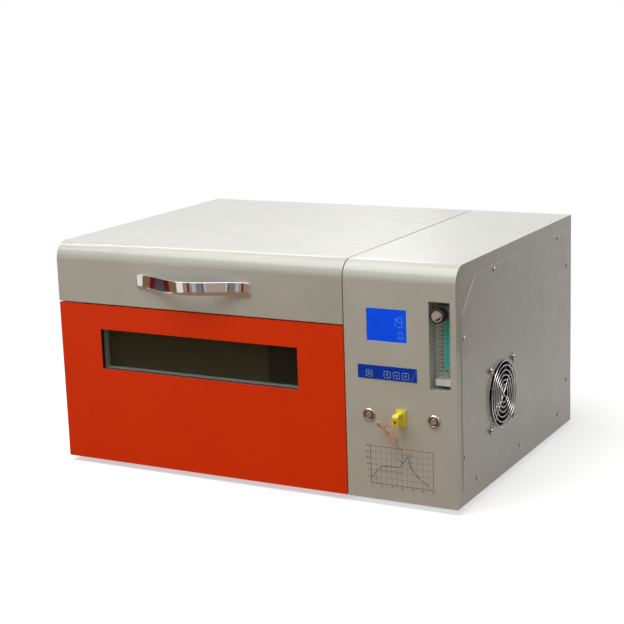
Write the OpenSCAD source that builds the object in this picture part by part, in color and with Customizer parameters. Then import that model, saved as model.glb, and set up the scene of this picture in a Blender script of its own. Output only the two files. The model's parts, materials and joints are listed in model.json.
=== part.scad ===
// Bench-top reflow oven: heated chamber with a motor-driven drawer and a
// hinged lid on the left, control housing on the right. Millimetres, +Z up,
// front towards -Y. The origin is the middle of the footprint on the bench.

/* [Cabinet] */
// Width across the whole cabinet
body_w = 612; // [600:1:660]
// Depth of the cabinet without its handle and rear fittings
body_d = 440; // [430:1:480]
// Height of the cabinet without its feet
body_h = 315; // [310:1:340]
// Thickness of the folded sheet steel
sheet = 1.5; // [1.2:0.1:1.8]
// Outer radius of the bend between front and top
bend_r = 24; // [18:1:28]
// Width of the control housing
housing_w = 156.25; // [154:0.25:170]
// Gap between the oven side and the control housing
seam_gap = 1.5; // [1:0.1:3]
// Height of the lid at its front
lid_h = 84; // [82:1:88]
// Gap under the lid
lid_gap = 2; // [1.5:0.1:3]
// Height of the rubber feet
foot_h = 8; // [6:1:14]
// Diameter of the rubber feet
foot_dia = 30; // [24:1:36]
// Distance of the feet's centres from the cabinet's edges
foot_inset = 62; // [55:1:80]

/* [Handle] */
// Length over the handle's two pads
handle_len = 181; // [170:1:200]
// Height of the handle strip
handle_tall = 18; // [14:1:22]
// How far the bow stands out from the lid
handle_out = 26; // [22:1:30]
// Thickness of the handle strip
handle_t = 2.5; // [2:0.1:3]
// Length of each flat pad
handle_pad = 16; // [14:1:20]
// Height of the handle's centre above the lid's lower edge
handle_z = 37; // [30:1:42]

/* [Chamber] */
// Distance of the stainless chamber's walls from the oven side's edges
chamber_x = 30; // [29:0.25:34]
// Height of the chamber floor above the cabinet's base
chamber_z = 88; // [84:1:90]
// Space between the chamber's rear bulkhead and the rear wall
rear_room = 49.5; // [45:0.5:56]
// Distance of the chamber's mouth from the cabinet's front face
chamber_y = 30; // [29.5:0.1:31]
// Thickness of the stainless sheet
liner_t = 1.2; // [1:0.1:1.5]
// Width of the frame round the chamber's mouth
mouth_frame = 10; // [9:0.5:12]
// Thickness of the insulation boards at the sides and the back
wool_t = 16.8; // [14:0.1:18]
// Thickness of the insulation under the floor
wool_floor = 28; // [24:1:30]
// Diameter of the heating tubes
heater_dia = 10; // [8:0.5:12]
// Number of heating tubes above and below
heater_count = 5; // [3:1:6]

/* [Drawer] */
// Depth of the drawer front's folded edges
drawer_fold = 18; // [16:0.5:18.5]
// Width of the window
window_w = 316; // [260:1:330]
// Height of the window
window_h = 57; // [50:1:62]
// Distance of the window from the drawer front's top
window_drop = 35; // [30:1:40]
// Thickness of each glass pane
glass_t = 3; // [2:0.5:4]
// Height of the tray's top above the chamber floor
tray_z = 48; // [40:1:54]

/* [Slides and drive] */
// Height of the slides' outer members
slide_h = 45; // [40:1:46]
// Thickness of the slides' steel
slide_t = 1.2; // [1:0.1:1.4]
// Running gap between the slide members
slide_gap = 0.4; // [0.3:0.05:0.5]
// Gear module of the rack and its pinion
gear_m = 1.5; // [1.5:0.05:1.6]
// Teeth on the pinion
pinion_teeth = 20; // [18:1:20]
// Face width of the rack
rack_w = 8; // [6:0.5:10]
// Distance of the pinion from the front face
pinion_y = 60; // [55:1:70]

/* [Hinges] */
// Length of each hinge
hinge_len = 60; // [50:1:80]
// Radius of the hinge knuckles
knuckle_r = 4.5; // [4:0.1:5]
// Radius of the hinge pins
hinge_pin_r = 2; // [1.5:0.1:2.5]
// Running clearance of pins and shafts in their bores
run_fit = 0.05; // [0.03:0.01:0.08]

/* [Side cover and fan] */
// Thickness of the screwed side cover
cover_t = 1.2; // [1:0.1:1.5]
// Border of the housing left round the side cover
cover_inset = 18; // [16:1:19]
// Chamfer of the cover's top front corner
cover_chamfer = 45; // [35:1:55]
// Side of the square fan frame
fan_size = 92; // [88:1:94]
// Pitch of the fan's screw holes
fan_pitch = 82.5; // [81:0.1:83]
// Depth of the fan frame
fan_depth = 25; // [20:1:30]
// Distance of the fan's axis from the front face
fan_y = 152; // [145:1:170]
// Height of the fan's axis above the cabinet's base
fan_z = 116; // [110:1:125]
// Wire diameter of the finger guard
guard_wire = 1.6; // [1.4:0.1:1.8]
// Radius of the guard's outermost ring
guard_r = 45; // [43:0.5:45]
// Distance between the guard's rings
guard_step = 6.6; // [6:0.1:7]

/* [Front panel] */
// Width of the display window
lcd_w = 56.4; // [50:0.1:60]
// Height of the display window
lcd_h = 43; // [38:0.5:45]
// Left edge of the display window from the housing's left edge
lcd_x = 32.3; // [30:0.1:34]
// Distance of the display window from the cabinet's top
lcd_drop = 58.8; // [56:0.1:61]
// Width of the keypad overlay
keypad_w = 83.5; // [82:0.5:86]
// Height of the keypad overlay
keypad_h = 18; // [16:0.5:20]
// Width of one key
key_w = 10; // [8:0.1:10.4]
// Height of one key
key_h = 9.5; // [8:0.1:10]
// Travel of one key
key_travel = 0.4; // [0.3:0.05:0.5]
// Radius of the push buttons' metal bezels
bezel_r = 8.75; // [8.4:0.05:9.5]
// Radius of the push buttons' caps
cap_r = 4.4; // [4:0.1:4.8]
// Travel of the push buttons
button_travel = 1.5; // [1:0.1:1.6]
// Distance of the button row from the cabinet's top
button_drop = 200.6; // [197:0.1:205]

/* [Flowmeter] */
// Width of the flowmeter's window
pocket_w = 28.8; // [28.5:0.1:30]
// Height of the flowmeter's window
pocket_h = 114.5; // [112:0.5:118]
// Depth of the flowmeter's pocket
pocket_depth = 20; // [18:0.5:24]
// Distance of the window from the cabinet's right side
pocket_side = 8; // [7:0.1:9]
// Distance of the window from the cabinet's top
pocket_drop = 45; // [42:0.5:47]
// Width of the clear flowmeter block
meter_w = 22; // [20:0.5:23]
// Length of the clear flowmeter block
meter_h = 76; // [70:1:78]
// Radius of the float
float_r = 1.9; // [1.6:0.1:2.1]
// Radius of the valve knob
knob_r = 9.5; // [8:0.1:10]
// Length of the valve knob
knob_len = 14; // [12:0.5:15]

/* [Thermocouple connector] */
// Width of the socket's flange
tc_flange_w = 13.8; // [13:0.1:15]
// Height of the socket's flange
tc_flange_h = 21.9; // [21:0.1:24]
// Thickness of the socket's flange
tc_flange_t = 2; // [1.5:0.1:2.5]
// Width of the plug
tc_plug_w = 8; // [7:0.1:9]
// Height of the plug
tc_plug_h = 16.4; // [15.6:0.1:17]
// Length of the plug without its blades
tc_plug_len = 18; // [16:0.5:20]

/* [Rear fittings] */
// Outer radius of the exhaust spigot
spigot_r = 25; // [20:0.5:28]
// Wall of the exhaust spigot
spigot_t = 1.5; // [1:0.1:2]
// How far the exhaust spigot stands out at the back
spigot_out = 30; // [28:1:40]
// Radius of the gas fitting's tube bore
tube_r = 4.1; // [3:0.1:4.5]
// Depth of the gas fitting's tube bore
tube_depth = 15; // [12:1:16]

/* [Hidden] */
$fn = 64;
eps = 0.01;
clear = 0.3;                     // gap between pieces that only pass by
slip = 0.2;                      // gap round a piece in its cut-out

// Housing and lid
oven_w = body_w - housing_w - seam_gap;  // the lid and the drawer front share it
housing_x = oven_w + seam_gap;
lid_z = body_h - lid_h;
front_h = lid_z - lid_gap;       // top of the drawer front and cabinet wrap
wrap_y = drawer_fold + 2;        // the wrap starts behind the drawer front
inner_fold = 14;

// Chamber
lid_room = 5;                    // from the chamber's flange to the lid's edge
chamber_w = oven_w - 2 * chamber_x;
chamber_top = lid_z - lid_room;
chamber_h = chamber_top - chamber_z;
chamber_back = body_d - sheet - rear_room - wool_t - liner_t;
chamber_d = chamber_back - chamber_y;
wool_z = chamber_z - liner_t - wool_floor;
wool_x0 = chamber_x - liner_t - wool_t;
wool_x1 = chamber_x + chamber_w + liner_t + wool_t;
bulkhead_y = chamber_back + liner_t + wool_t;
mouth_x = chamber_x + mouth_frame;
mouth_w = chamber_w - 2 * mouth_frame;
mouth_z = chamber_z + mouth_frame;
mouth_h = chamber_h - 2 * mouth_frame;
seal_w = 6;
holder_r = heater_dia / 2 + 2;
holder_len = 12;
low_heater_z = chamber_z + holder_r + 3;
baffle_gap = 28;
baffle_y = chamber_back - baffle_gap;
baffle_side = 30;
baffle_low = 8;                  // gaps of the baffle below and above
baffle_high = 10;
vent_r = 4;                      // holes of the baffle, in columns and rows
vent_x = 72;
vent_z = 24;
vent_step = [15, 17];
vent_last = [floor((chamber_w / 2 - baffle_side - vent_x - 22) / vent_step[0]),
    floor((chamber_h - 2 * vent_z) / vent_step[1])];

// Convection fan
blower_x = chamber_x + chamber_w / 2;
blower_z = chamber_z + chamber_h / 2;
shaft_r = 4;
impeller_r = 52;
impeller_h = 12;
blower_r = 34;
blower_len = 32;
impeller_blades = 12;

// Drawer
plate_y = drawer_fold;           // back plate of the drawer front
plate_t = 1.2;
door_back = chamber_y - 2;       // rear face of the inner door
window_x = (oven_w - window_w) / 2;
window_z = front_h - window_drop - window_h;
pane_lap = 8;
reveal = 3.5;                    // depth of the window's folded edge
arm_w = 6;
arm_h = 14;
arm_x = mouth_x + 6;
tray_top = chamber_z + tray_z;
tray_wire = 2;
arm_back = baffle_y - 12;

// Slides
slide_z = 8;
slide_mid = slide_z + slide_h / 2;
slide_len = chamber_d + 5;
beam_w = chamber_x - liner_t - wool_x0;
beam_in = chamber_x - liner_t;

// Rack and pinion
pitch = PI * gear_m;
pinion_r = gear_m * pinion_teeth / 2;
pinion_z = 30;
pitch_z = pinion_z + pinion_r;
rack_x = oven_w / 2 - rack_w / 2;
rack_back = arm_back - 2;
rack_body = 7;
tooth_share = 0.42;
motor_r = 18;
motor_len = 62;
bracket_t = 3;

// Lid
skirt_y = body_d - sheet;
lid_floor = lid_z + 2;
lid_pan_h = 29;
lid_pan_y = 24;
lid_pan_d = chamber_back - lid_pan_y + 6;
top_heater_z = lid_floor + lid_pan_h - holder_r - 4;
lid_wool = 26;

// Hinges
hinge_y = body_d + knuckle_r;
hinge_z = lid_z - 1;
hinge_leaf = 2;
hinge_leaf_h = 28;
hinge_xs = [oven_w * 0.15, oven_w * 0.85 - hinge_len];
knuckle_gap = 0.3;
hinge_rise = 5;                  // from the axis to each leaf's flat

// Exhaust, below the right-hand hinge
spigot_flange = 9;
spigot_x = chamber_x + chamber_w - 62;
spigot_z = hinge_z - hinge_rise - hinge_leaf_h - 13 - spigot_flange - spigot_r;

// Side cover and fan
cover_x = body_w;
cover_lap = 12;                  // cover over the edge of the opening
cover_z0 = cover_inset;
cover_z1 = body_h - cover_inset - 1;
cover_y0 = cover_inset;
cover_y1 = body_d - 13;
screw_in = 6;
guard_lift = 3.6;
guard_x = cover_x + cover_t + guard_lift;
lug_h = guard_lift - guard_wire / 2;
guard_lug_r = 4.4;
guard_screw_h = 2.2;
screw_r = 1.9;
head_r = 3.6;
head_h = 2.2;
fan_x = cover_x - fan_depth;
fan_bore = fan_size / 2 - 2.5;
fan_hub = 18;
fan_pin_r = 2;

// Front panel
panel_back = sheet;
lcd_x0 = housing_x + lcd_x;
lcd_z = body_h - lcd_drop - lcd_h;
keypad_x = lcd_x0 + lcd_w / 2 - keypad_w / 2;
keypad_z = lcd_z - 50.2;
keypad_t = 0.5;
key_z = keypad_z + 7.2;
key_x = [for (d = [16.6, 42.1, 55.1, 67.8]) keypad_x + d];
key_proud = 0.9;
key_body = 2.4;
board_y = 12;
board_t = 1.6;
pocket_x0 = body_w - pocket_side - pocket_w;
pocket_t = 1.2;
board_x = lcd_x0 - 20;
board_w = pocket_x0 - pocket_t - 7.55 - board_x;
board_z = keypad_z - 6;
board_top = lcd_z + lcd_h + 6;
button_x = [lcd_x0 + 1, lcd_x0 + 92.5];
button_z = body_h - button_drop;
bezel_out = 2.4;
button_body_r = 8;
button_len = 22;
recess_r = cap_r + 1.1;

// Thermocouple connector
tc_x = lcd_x0 + 46.8;
tc_z = button_z - 0.1;
tc_body_w = tc_flange_w - 4.2;
tc_body_h = tc_flange_h - 6;
tc_body_len = 14;
blade_len = 11;
blade_t = 0.8;
blade_z = 4;
blade_w = [3.2, 2.4];
blade_fit = 0.3;
grommet_r = 1.8;
grommet_out = 0.8;
tc_front = -tc_flange_t - tc_plug_len;

// Flowmeter
pocket_z = body_h - pocket_drop - pocket_h;
pocket_back = panel_back + pocket_depth;
meter_x = pocket_x0 + pocket_w - meter_w - 1.8;
meter_y = pocket_back - 12.5;
meter_z = pocket_z + 13;
tube_x = meter_x + 13;
tube_y = meter_y + 5.5;
head_z = meter_z + meter_h;
meter_head = 19;
meter_foot = 8;
knob_x = meter_x + 9;
knob_z = head_z + 8.7;
knob_front = -7;
knob_stem = 3;
float_z = meter_z + 10;

// Rear fittings in the control housing
gas_x = housing_x + 124;
gas_z = 60;
gas_out = 16;
gas_tail = 14;
gas_thread = 6.5;
inlet_x = housing_x + 44;
inlet_z = 66;
rocker_z = inlet_z + 17;
socket_z = inlet_z - 13;
rocker_r = 9;

// Electrics on the housing's base
bay_x = housing_x + 14;
supply_size = [98, 159, 38];
supply_y = 70;
supply_slots = 10;
sink_size = [104, 100, 34];
sink_y = supply_y + supply_size[1] + 11;
sink_fins = 9;
fin_gap = 7;
fin_pitch = 11;
fin_floor = 4;
fin_h = 24;
relay_size = [45, 58, 28];
relay_pitch = 51;
valve_body = 28;                 // brass body of the solenoid valve
valve_depth = 26;
coil_w = 24;
coil_h = 32;
valve_plate = 2;                 // sheet of the valve's bracket

// Reach of the whole part
reach_right = guard_x - guard_wire / 2 + guard_screw_h;
reach_back = body_d + spigot_out;

// Lead of the thermocouple, from the cabinet's front left lower corner
cord_d = 1;
lead_route = [[534.8, -20, 114.3], [534.8, -22, 114.3], [534.3, -23.2, 114.1],
    [532.4, -23.6, 113.2], [529, -22.4, 111.4], [525, -20, 108.8],
    [521, -16.8, 105.6], [518, -13.6, 102.8], [515.6, -10.5, 100.6]];
tail_route = [[529.6, -8.2, 84.4], [532.4, -7.6, 83.4], [535.4, -6.9, 80.6],
    [539, -6, 76.6], [543, -5, 72.1], [547, -4, 67.6], [549.5, -3.4, 64.8]];
hank_at = [515.6, -8, 98.6];
hank_turn = -39;
hank_t = 5;

// ---------- shared shapes ----------

// The cabinet's front left lower corner goes to its place in the part's frame
module placed()
    translate([-reach_right / 2, (handle_out - reach_back) / 2, foot_h])
        children();

// Extrudes an outline in (y, z) along X
module along_x(x0, length)
    translate([x0, 0, 0]) rotate([90, 0, 90]) linear_extrude(length)
        children();

// Extrudes an outline in (x, z) along Y, from y0 backwards
module along_y(y0, length)
    translate([0, y0 + length, 0]) rotate([90, 0, 0]) linear_extrude(length)
        children();

module box(low, high) translate(low) cube(high - low);

module rod_x(r, x0, x1, y, z)
    translate([x0, y, z]) rotate([0, 90, 0]) cylinder(r = r, h = x1 - x0);

module rod_y(r, x, y0, y1, z)
    translate([x, y0, z]) rotate([-90, 0, 0]) cylinder(r = r, h = y1 - y0);

module rod_z(r, x, y, z0, z1)
    translate([x, y, z0]) cylinder(r = r, h = z1 - z0);

// Side outline of a casing with a round bend between front and top
module bent(y0, y1, z0, z1, r) {
    translate([y0 + r, z0]) square([y1 - y0 - r, z1 - z0]);
    translate([y0, z0]) square([r, z1 - z0 - r]);
    translate([y0 + r, z1 - r]) circle(r);
}

module rounded(w, h, r) {
    translate([r, 0]) square([w - 2 * r, h]);
    translate([0, r]) square([w, h - 2 * r]);
    for (x = [r, w - r], y = [r, h - r]) translate([x, y]) circle(r);
}

// ---------- cabinet ----------

module chassis_base() color("#b9b4aa") placed() {
    difference() {
        union() {
            box([sheet, wrap_y + sheet, 0], [oven_w, body_d - sheet, sheet]);
            box([housing_x + sheet, sheet, 0],
                [body_w - sheet, body_d - sheet, sheet]);
            // tongue under the housing's inner wall
            box([oven_w - eps, wrap_y + sheet, 0],
                [housing_x + sheet + eps, body_d - 3 * sheet, sheet]);
        }
        for (p = foot_places()) rod_z(screw_r + 0.2, p[0], p[1], -1, sheet + 1);
        for (i = [0:9])
            box([housing_x + 22 + 11 * i, 90, -1],
                [housing_x + 26 + 11 * i, 210, sheet + 1]);
    }
}

function foot_places() = [for (x = [foot_inset, body_w - foot_inset],
    y = [foot_inset, body_d - foot_inset]) [x, y]];

module rubber_feet() color("#1c1c1c") placed()
    for (p = foot_places()) {
        translate([p[0], p[1], -foot_h])
            cylinder(r1 = foot_dia / 2 - 2, r2 = foot_dia / 2, h = foot_h);
        rod_z(screw_r, p[0], p[1], -eps, sheet + 3);
    }

module cabinet_wrap() color("#cfcbc2") placed() {
    // left side with its folds
    box([0, wrap_y, 0], [sheet, body_d, front_h]);
    box([0, wrap_y, 0], [inner_fold - 3, wrap_y + sheet, front_h]);
    box([0, wrap_y, front_h - sheet],
        [inner_fold - 3, body_d, front_h]);
    // rear of the oven side
    difference() {
        box([0, body_d - sheet, 0], [oven_w, body_d, front_h]);
        rod_y(spigot_r + slip, spigot_x, body_d - 5, body_d + 1, spigot_z);
        for (i = [0:8])
            box([blower_x - 60, body_d - 5, 100 + 10 * i],
                [blower_x + 30, body_d + 1, 103.5 + 10 * i]);
    }
}

module control_housing() color("#cfcbc2") placed()
    difference() {
        along_x(housing_x, housing_w)
            bent(0, body_d, 0, body_h, bend_r);
        along_x(housing_x + sheet, housing_w - 2 * sheet)
            bent(sheet, body_d - sheet, -1, body_h - sheet, bend_r - sheet);
        // slot over the base's tongue, and passage for the wiring
        box([housing_x - 1, wrap_y - clear, -1],
            [housing_x + 2 * sheet, body_d - 3 * sheet + clear, sheet]);
        rod_x(18, housing_x - 1, housing_x + 5, body_d - 90, 40);
        // opening behind the side cover
        along_x(body_w - 5, 10)
            cover_outline(cover_lap);
        for (p = cover_screws())
            rod_x(screw_r + slip / 2, body_w - 5, body_w + 1, p[0], p[1]);
        // front openings
        box([lcd_x0, -1, lcd_z], [lcd_x0 + lcd_w, 5, lcd_z + lcd_h]);
        box([pocket_x0, -1, pocket_z],
            [pocket_x0 + pocket_w, 5, pocket_z + pocket_h]);
        for (x = key_x)
            box([x - key_w / 2 - slip, -1, key_z - key_h / 2 - slip],
                [x + key_w / 2 + slip, 5, key_z + key_h / 2 + slip]);
        for (x = button_x) rod_y(button_body_r + slip, x, -1, 5, button_z);
        box([tc_x - tc_body_w / 2 - slip, -1, tc_z - tc_body_h / 2 - slip],
            [tc_x + tc_body_w / 2 + slip, 5, tc_z + tc_body_h / 2 + slip]);
        // rear openings
        rod_y(gas_thread + slip, gas_x, body_d - 5, body_d + 1, gas_z);
        box([inlet_x - 14 - slip, body_d - 5, inlet_z - 30 - slip],
            [inlet_x + 14 + slip, body_d + 1, inlet_z + 30 + slip]);
        for (i = [0:9])
            box([housing_x + 30, body_d - 5, 190 + 9 * i],
                [housing_x + 126, body_d + 1, 193 + 9 * i]);
    }

// Outline of the side cover in (y, z), moved in by a margin
module cover_outline(margin)
    polygon([
        [cover_y0 + margin, cover_z0 + margin],
        [cover_y1 - margin, cover_z0 + margin],
        [cover_y1 - margin, cover_z1 - margin],
        [cover_y0 + cover_chamfer + margin * tan(22.5), cover_z1 - margin],
        [cover_y0 + margin, cover_z1 - cover_chamfer - margin * tan(22.5)]]);

function cover_screws() = [
    [cover_y0 + 110, cover_z1 - screw_in],
    [cover_y1 - 47, cover_z1 - screw_in],
    [cover_y1 - 8, cover_z1 - 53], [cover_y1 - 8, cover_z0 + 51],
    [cover_y1 - 46, cover_z0 + screw_in], [220.6, cover_z0 + screw_in],
    [cover_y0 + 46.5, cover_z0 + screw_in],
    [cover_y0 + screw_in, cover_z0 + 46.5],
    [cover_y0 + screw_in, cover_z0 + 203]];

function fan_holes() = [for (a = [-1, 1], b = [-1, 1])
    [fan_y + a * fan_pitch / 2, fan_z + b * fan_pitch / 2]];

module side_cover() color("#cbc7be") placed()
    difference() {
        along_x(cover_x, cover_t) cover_outline(0);
        rod_x(guard_r, cover_x - 1, cover_x + 5, fan_y, fan_z);
        for (p = cover_screws())
            rod_x(screw_r + slip / 2, cover_x - 1, cover_x + 5, p[0], p[1]);
        for (p = fan_holes())
            rod_x(screw_r + slip / 2, cover_x - 1, cover_x + 5, p[0], p[1]);
    }

// Button-head screw along X with its seat at x
module button_screw(x, p, length, tall) {
    rod_x(screw_r, x - length, x + eps, p[0], p[1]);
    translate([x, p[0], p[1]]) rotate([0, 90, 0]) difference() {
        intersection() {
            cylinder(r = head_r, h = tall);
            translate([0, 0, tall - 5]) sphere(5.2);
        }
        translate([-0.5, -head_r, tall - 0.8]) cube([1, 2 * head_r, 2]);
        translate([-head_r, -0.5, tall - 0.8]) cube([2 * head_r, 1, 2]);
    }
}

module side_screws() color("#d8d8d6") placed() {
    for (p = cover_screws())
        button_screw(cover_x + cover_t, p, 7, head_h);
    for (p = fan_holes())
        button_screw(guard_x - guard_wire / 2, p, lug_h + 12, guard_screw_h);
}

module fan_guard() color("#d9dadb") placed() {
    // the struts end on the lugs, clear of the screw heads
    strut = fan_pitch / sqrt(2) - head_r - 0.2;
    for (i = [0:5])
        translate([guard_x, fan_y, fan_z]) rotate([0, 90, 0])
            rotate_extrude() translate([guard_r - guard_step * i, 0])
                circle(guard_wire / 2, $fn = 20);
    difference() {
        union() {
            for (a = [45, 135])
                translate([guard_x - guard_wire * 0.8, fan_y, fan_z])
                    rotate([a, 0, 0]) translate([0, 0, -strut])
                        cylinder(r = guard_wire / 2, h = 2 * strut, $fn = 20);
            translate([guard_x - guard_wire * 0.8, fan_y, fan_z])
                rotate([-63, 0, 0]) translate([0, 0, -guard_r])
                    cylinder(r = guard_wire / 2, h = 2 * guard_r, $fn = 20);
            for (p = fan_holes())
                rod_x(guard_lug_r, cover_x + cover_t, guard_x - guard_wire / 2,
                    p[0], p[1]);
        }
        for (p = fan_holes())
            rod_x(screw_r + slip, cover_x, guard_x + 5, p[0], p[1]);
    }
}

module side_fan_frame() color("#1d1e20") placed()
    difference() {
        union() {
            difference() {
                box([fan_x, fan_y - fan_size / 2, fan_z - fan_size / 2],
                    [cover_x, fan_y + fan_size / 2, fan_z + fan_size / 2]);
                rod_x(fan_bore, fan_x - 1, cover_x + 1, fan_y, fan_z);
                // waist between the two flanges
                for (a = [0:90:270]) translate([0, fan_y, fan_z])
                    rotate([a, 0, 0])
                        box([fan_x + 4, -fan_size / 2 + 12, fan_size / 2 - 1],
                            [cover_x - 4, fan_size / 2 - 12, fan_size]);
            }
            rod_x(fan_hub, fan_x, fan_x + 4, fan_y, fan_z);
            for (a = [20:90:290]) translate([0, fan_y, fan_z])
                rotate([a, 0, 0])
                    box([fan_x, -2, fan_hub - 2], [fan_x + 3, 2, fan_bore + 1]);
            rod_x(fan_pin_r + 3, fan_x, fan_x + 14, fan_y, fan_z);
        }
        rod_x(fan_pin_r + run_fit, fan_x - 1, fan_x + 20, fan_y, fan_z);
        for (p = fan_holes())
            rod_x(screw_r + slip, fan_x - 1, cover_x + 1, p[0], p[1]);
    }

module side_fan_rotor() color("#232426") placed()
    translate([fan_x, fan_y, fan_z]) {
        rotate([0, 90, 0]) {
            cylinder(r = fan_pin_r, h = fan_depth - 3);
            difference() {
                translate([0, 0, 5]) cylinder(r = fan_hub, h = fan_depth - 7);
                translate([0, 0, 4]) cylinder(r = fan_hub - 2, h = 13);
            }
        }
        for (a = [0:360 / 7:359]) rotate([a, 0, 0])
            translate([fan_depth / 2 + 1, 0, fan_hub - 1]) rotate([0, 0, 52])
                translate([-1, -11, 0])
                    cube([2, 22, fan_bore - fan_hub - 1.5]);
    }

// ---------- chamber ----------

module chamber_frame() color("#a9aaa8") placed()
    difference() {
        union() {
            for (side = [0, 1]) {
                x0 = side ? oven_w - beam_in : wool_x0;
                web = side ? x0 : beam_in - sheet;
                box([x0, chamber_y, sheet],
                    [x0 + beam_w, bulkhead_y + eps, 2 * sheet]);
                box([x0, chamber_y, wool_z - sheet],
                    [x0 + beam_w, bulkhead_y + eps, wool_z]);
                box([web, chamber_y, sheet],
                    [web + sheet, bulkhead_y + eps, wool_z]);
            }
            box([wool_x0, bulkhead_y, sheet],
                [wool_x1, bulkhead_y + sheet, chamber_top - liner_t]);
        }
        rod_y(shaft_r + 4, blower_x, bulkhead_y - 1, bulkhead_y + 5, blower_z);
        rod_y(spigot_r + slip, spigot_x, bulkhead_y - 1, bulkhead_y + 5,
            spigot_z);
    }

module chamber_liner() color("#c9cac8") placed() {
    difference() {
        union() {
            box([chamber_x - liner_t, chamber_y, chamber_z - liner_t],
                [chamber_x + chamber_w + liner_t, chamber_back + liner_t,
                chamber_top]);
            box([wool_x0, chamber_y, chamber_top - liner_t],
                [wool_x1, bulkhead_y, chamber_top]);
        }
        box([chamber_x, chamber_y + liner_t, chamber_z],
            [chamber_x + chamber_w, chamber_back, chamber_top + 1]);
        box([mouth_x, chamber_y - 1, mouth_z],
            [mouth_x + mouth_w, chamber_y + 5, mouth_z + mouth_h]);
        rod_y(shaft_r + 4, blower_x, chamber_back - 1, chamber_back + 5,
            blower_z);
        rod_y(spigot_r + slip, spigot_x, chamber_back - 1, chamber_back + 5,
            spigot_z);
    }
    // baffle in front of the convection fan
    difference() {
        union() {
            box([chamber_x + baffle_side, baffle_y, chamber_z + baffle_low],
                [chamber_x + chamber_w - baffle_side, baffle_y + liner_t,
                chamber_top - baffle_high]);
            for (x = [chamber_x + baffle_side,
                chamber_x + chamber_w - baffle_side - liner_t])
                box([x, baffle_y, chamber_z + baffle_low],
                    [x + liner_t, chamber_back - run_fit,
                    chamber_top - baffle_high]);
        }
        rod_y(impeller_r * 0.7, blower_x, baffle_y - 1, baffle_y + 5,
            blower_z);
        for (s = [-1, 1], i = [0:vent_last[0]], j = [0:vent_last[1]])
            rod_y(vent_r, blower_x + s * (vent_x + vent_step[0] * i),
                baffle_y - 1, baffle_y + 5,
                chamber_z + vent_z + vent_step[1] * j);
    }
}

module chamber_insulation() color("#efe9d8") placed()
    difference() {
        box([wool_x0, chamber_y, wool_z],
            [wool_x1, bulkhead_y, chamber_top - liner_t]);
        box([chamber_x - liner_t, chamber_y - 1, chamber_z - liner_t],
            [chamber_x + chamber_w + liner_t, chamber_back + liner_t,
            chamber_top]);
        rod_y(shaft_r + 4, blower_x, chamber_back, bulkhead_y + 5, blower_z);
        rod_y(spigot_r + slip, spigot_x, chamber_back, bulkhead_y + 5,
            spigot_z);
    }

// Row of heating tubes with a ceramic holder at each end
module heater_row(x0, x1, y0, y1, z)
    for (i = [0:heater_count - 1]) {
        y = y0 + (y1 - y0) * i / (heater_count - 1);
        color("#e8d9c4")
            rod_x(heater_dia / 2, x0 + holder_len - 1, x1 - holder_len + 1,
                y, z);
        color("#f4f1ea") {
            rod_x(holder_r, x0, x0 + holder_len, y, z);
            rod_x(holder_r, x1 - holder_len, x1, y, z);
        }
    }

module lower_heaters() placed()
    heater_row(chamber_x, chamber_x + chamber_w, chamber_y + 40,
        baffle_y - 40, low_heater_z);

module seal_ring(x0, x1, z0, z1, w) difference() {
    translate([x0, z0]) square([x1 - x0, z1 - z0]);
    translate([x0 + w, z0 + w]) square([x1 - x0 - 2 * w, z1 - z0 - 2 * w]);
}

module chamber_seals() color("#d9d4c4") placed() {
    // round the mouth, for the drawer
    along_y(door_back + clear, chamber_y - door_back - clear)
        seal_ring(mouth_x - seal_w, mouth_x + mouth_w + seal_w,
            mouth_z - seal_w, mouth_z + mouth_h + seal_w, seal_w);
    // on the flange, for the lid
    translate([0, 0, chamber_top])
        linear_extrude(lid_floor - clear - chamber_top)
            seal_ring(chamber_x - seal_w - 2,
                chamber_x + chamber_w + seal_w + 2,
                chamber_y + 0.5, chamber_back + seal_w + 2, seal_w);
}

module convection_motor() color("#8b8f92") placed()
    difference() {
        union() {
            rod_y(blower_r, blower_x, bulkhead_y + sheet,
                bulkhead_y + sheet + blower_len, blower_z);
            along_y(bulkhead_y + sheet, 3)
                translate([blower_x - 40, blower_z - 40]) rounded(80, 80, 8);
        }
        rod_y(shaft_r + run_fit, blower_x, bulkhead_y - 1,
            bulkhead_y + blower_len - 6, blower_z);
    }

module convection_impeller() color("#b7babb") placed()
    translate([blower_x, 0, blower_z]) {
        rod_y(shaft_r, 0, baffle_y + 8, bulkhead_y + blower_len - 8, 0);
        rod_y(12, 0, baffle_y + 8, baffle_y + 8 + impeller_h, 0);
        rod_y(impeller_r, 0, baffle_y + 7 + impeller_h,
            baffle_y + 8.2 + impeller_h, 0);
        for (a = [0:360 / impeller_blades:359]) rotate([0, a, 0])
            box([20, baffle_y + 8, -0.6],
                [impeller_r - 1, baffle_y + 8 + impeller_h, 0.6]);
    }

// ---------- slides and drawer drive ----------

// Channel profile in (x, z) open towards +X, with its web at x0
module channel(x0, depth, h, t) {
    translate([x0, -h / 2]) square([t, h]);
    for (s = [-h / 2, h / 2 - t]) translate([x0, s]) square([depth, t]);
}

// Places a left-hand slide profile at both beams
module both_slides(y0, length)
    for (side = [0, 1])
        translate([side ? oven_w - beam_in : beam_in, 0, slide_mid])
            mirror([side, 0, 0]) along_y(y0, length) children();

module slide_outer_members() color("#c4c6c7") placed()
    both_slides(chamber_y, slide_len) {
        channel(0, 10, slide_h, slide_t);
        for (s = [-slide_h / 2, slide_h / 2 - 4])
            translate([10 - slide_t, s]) square([slide_t, 4]);
    }

module slide_middle_members() color("#b4b7b9") placed()
    both_slides(chamber_y + 2, slide_len - 4)
        channel(slide_t + slide_gap, 10 - 2 * (slide_t + slide_gap),
            slide_h - 2 * (slide_t + slide_gap), slide_t);

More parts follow.
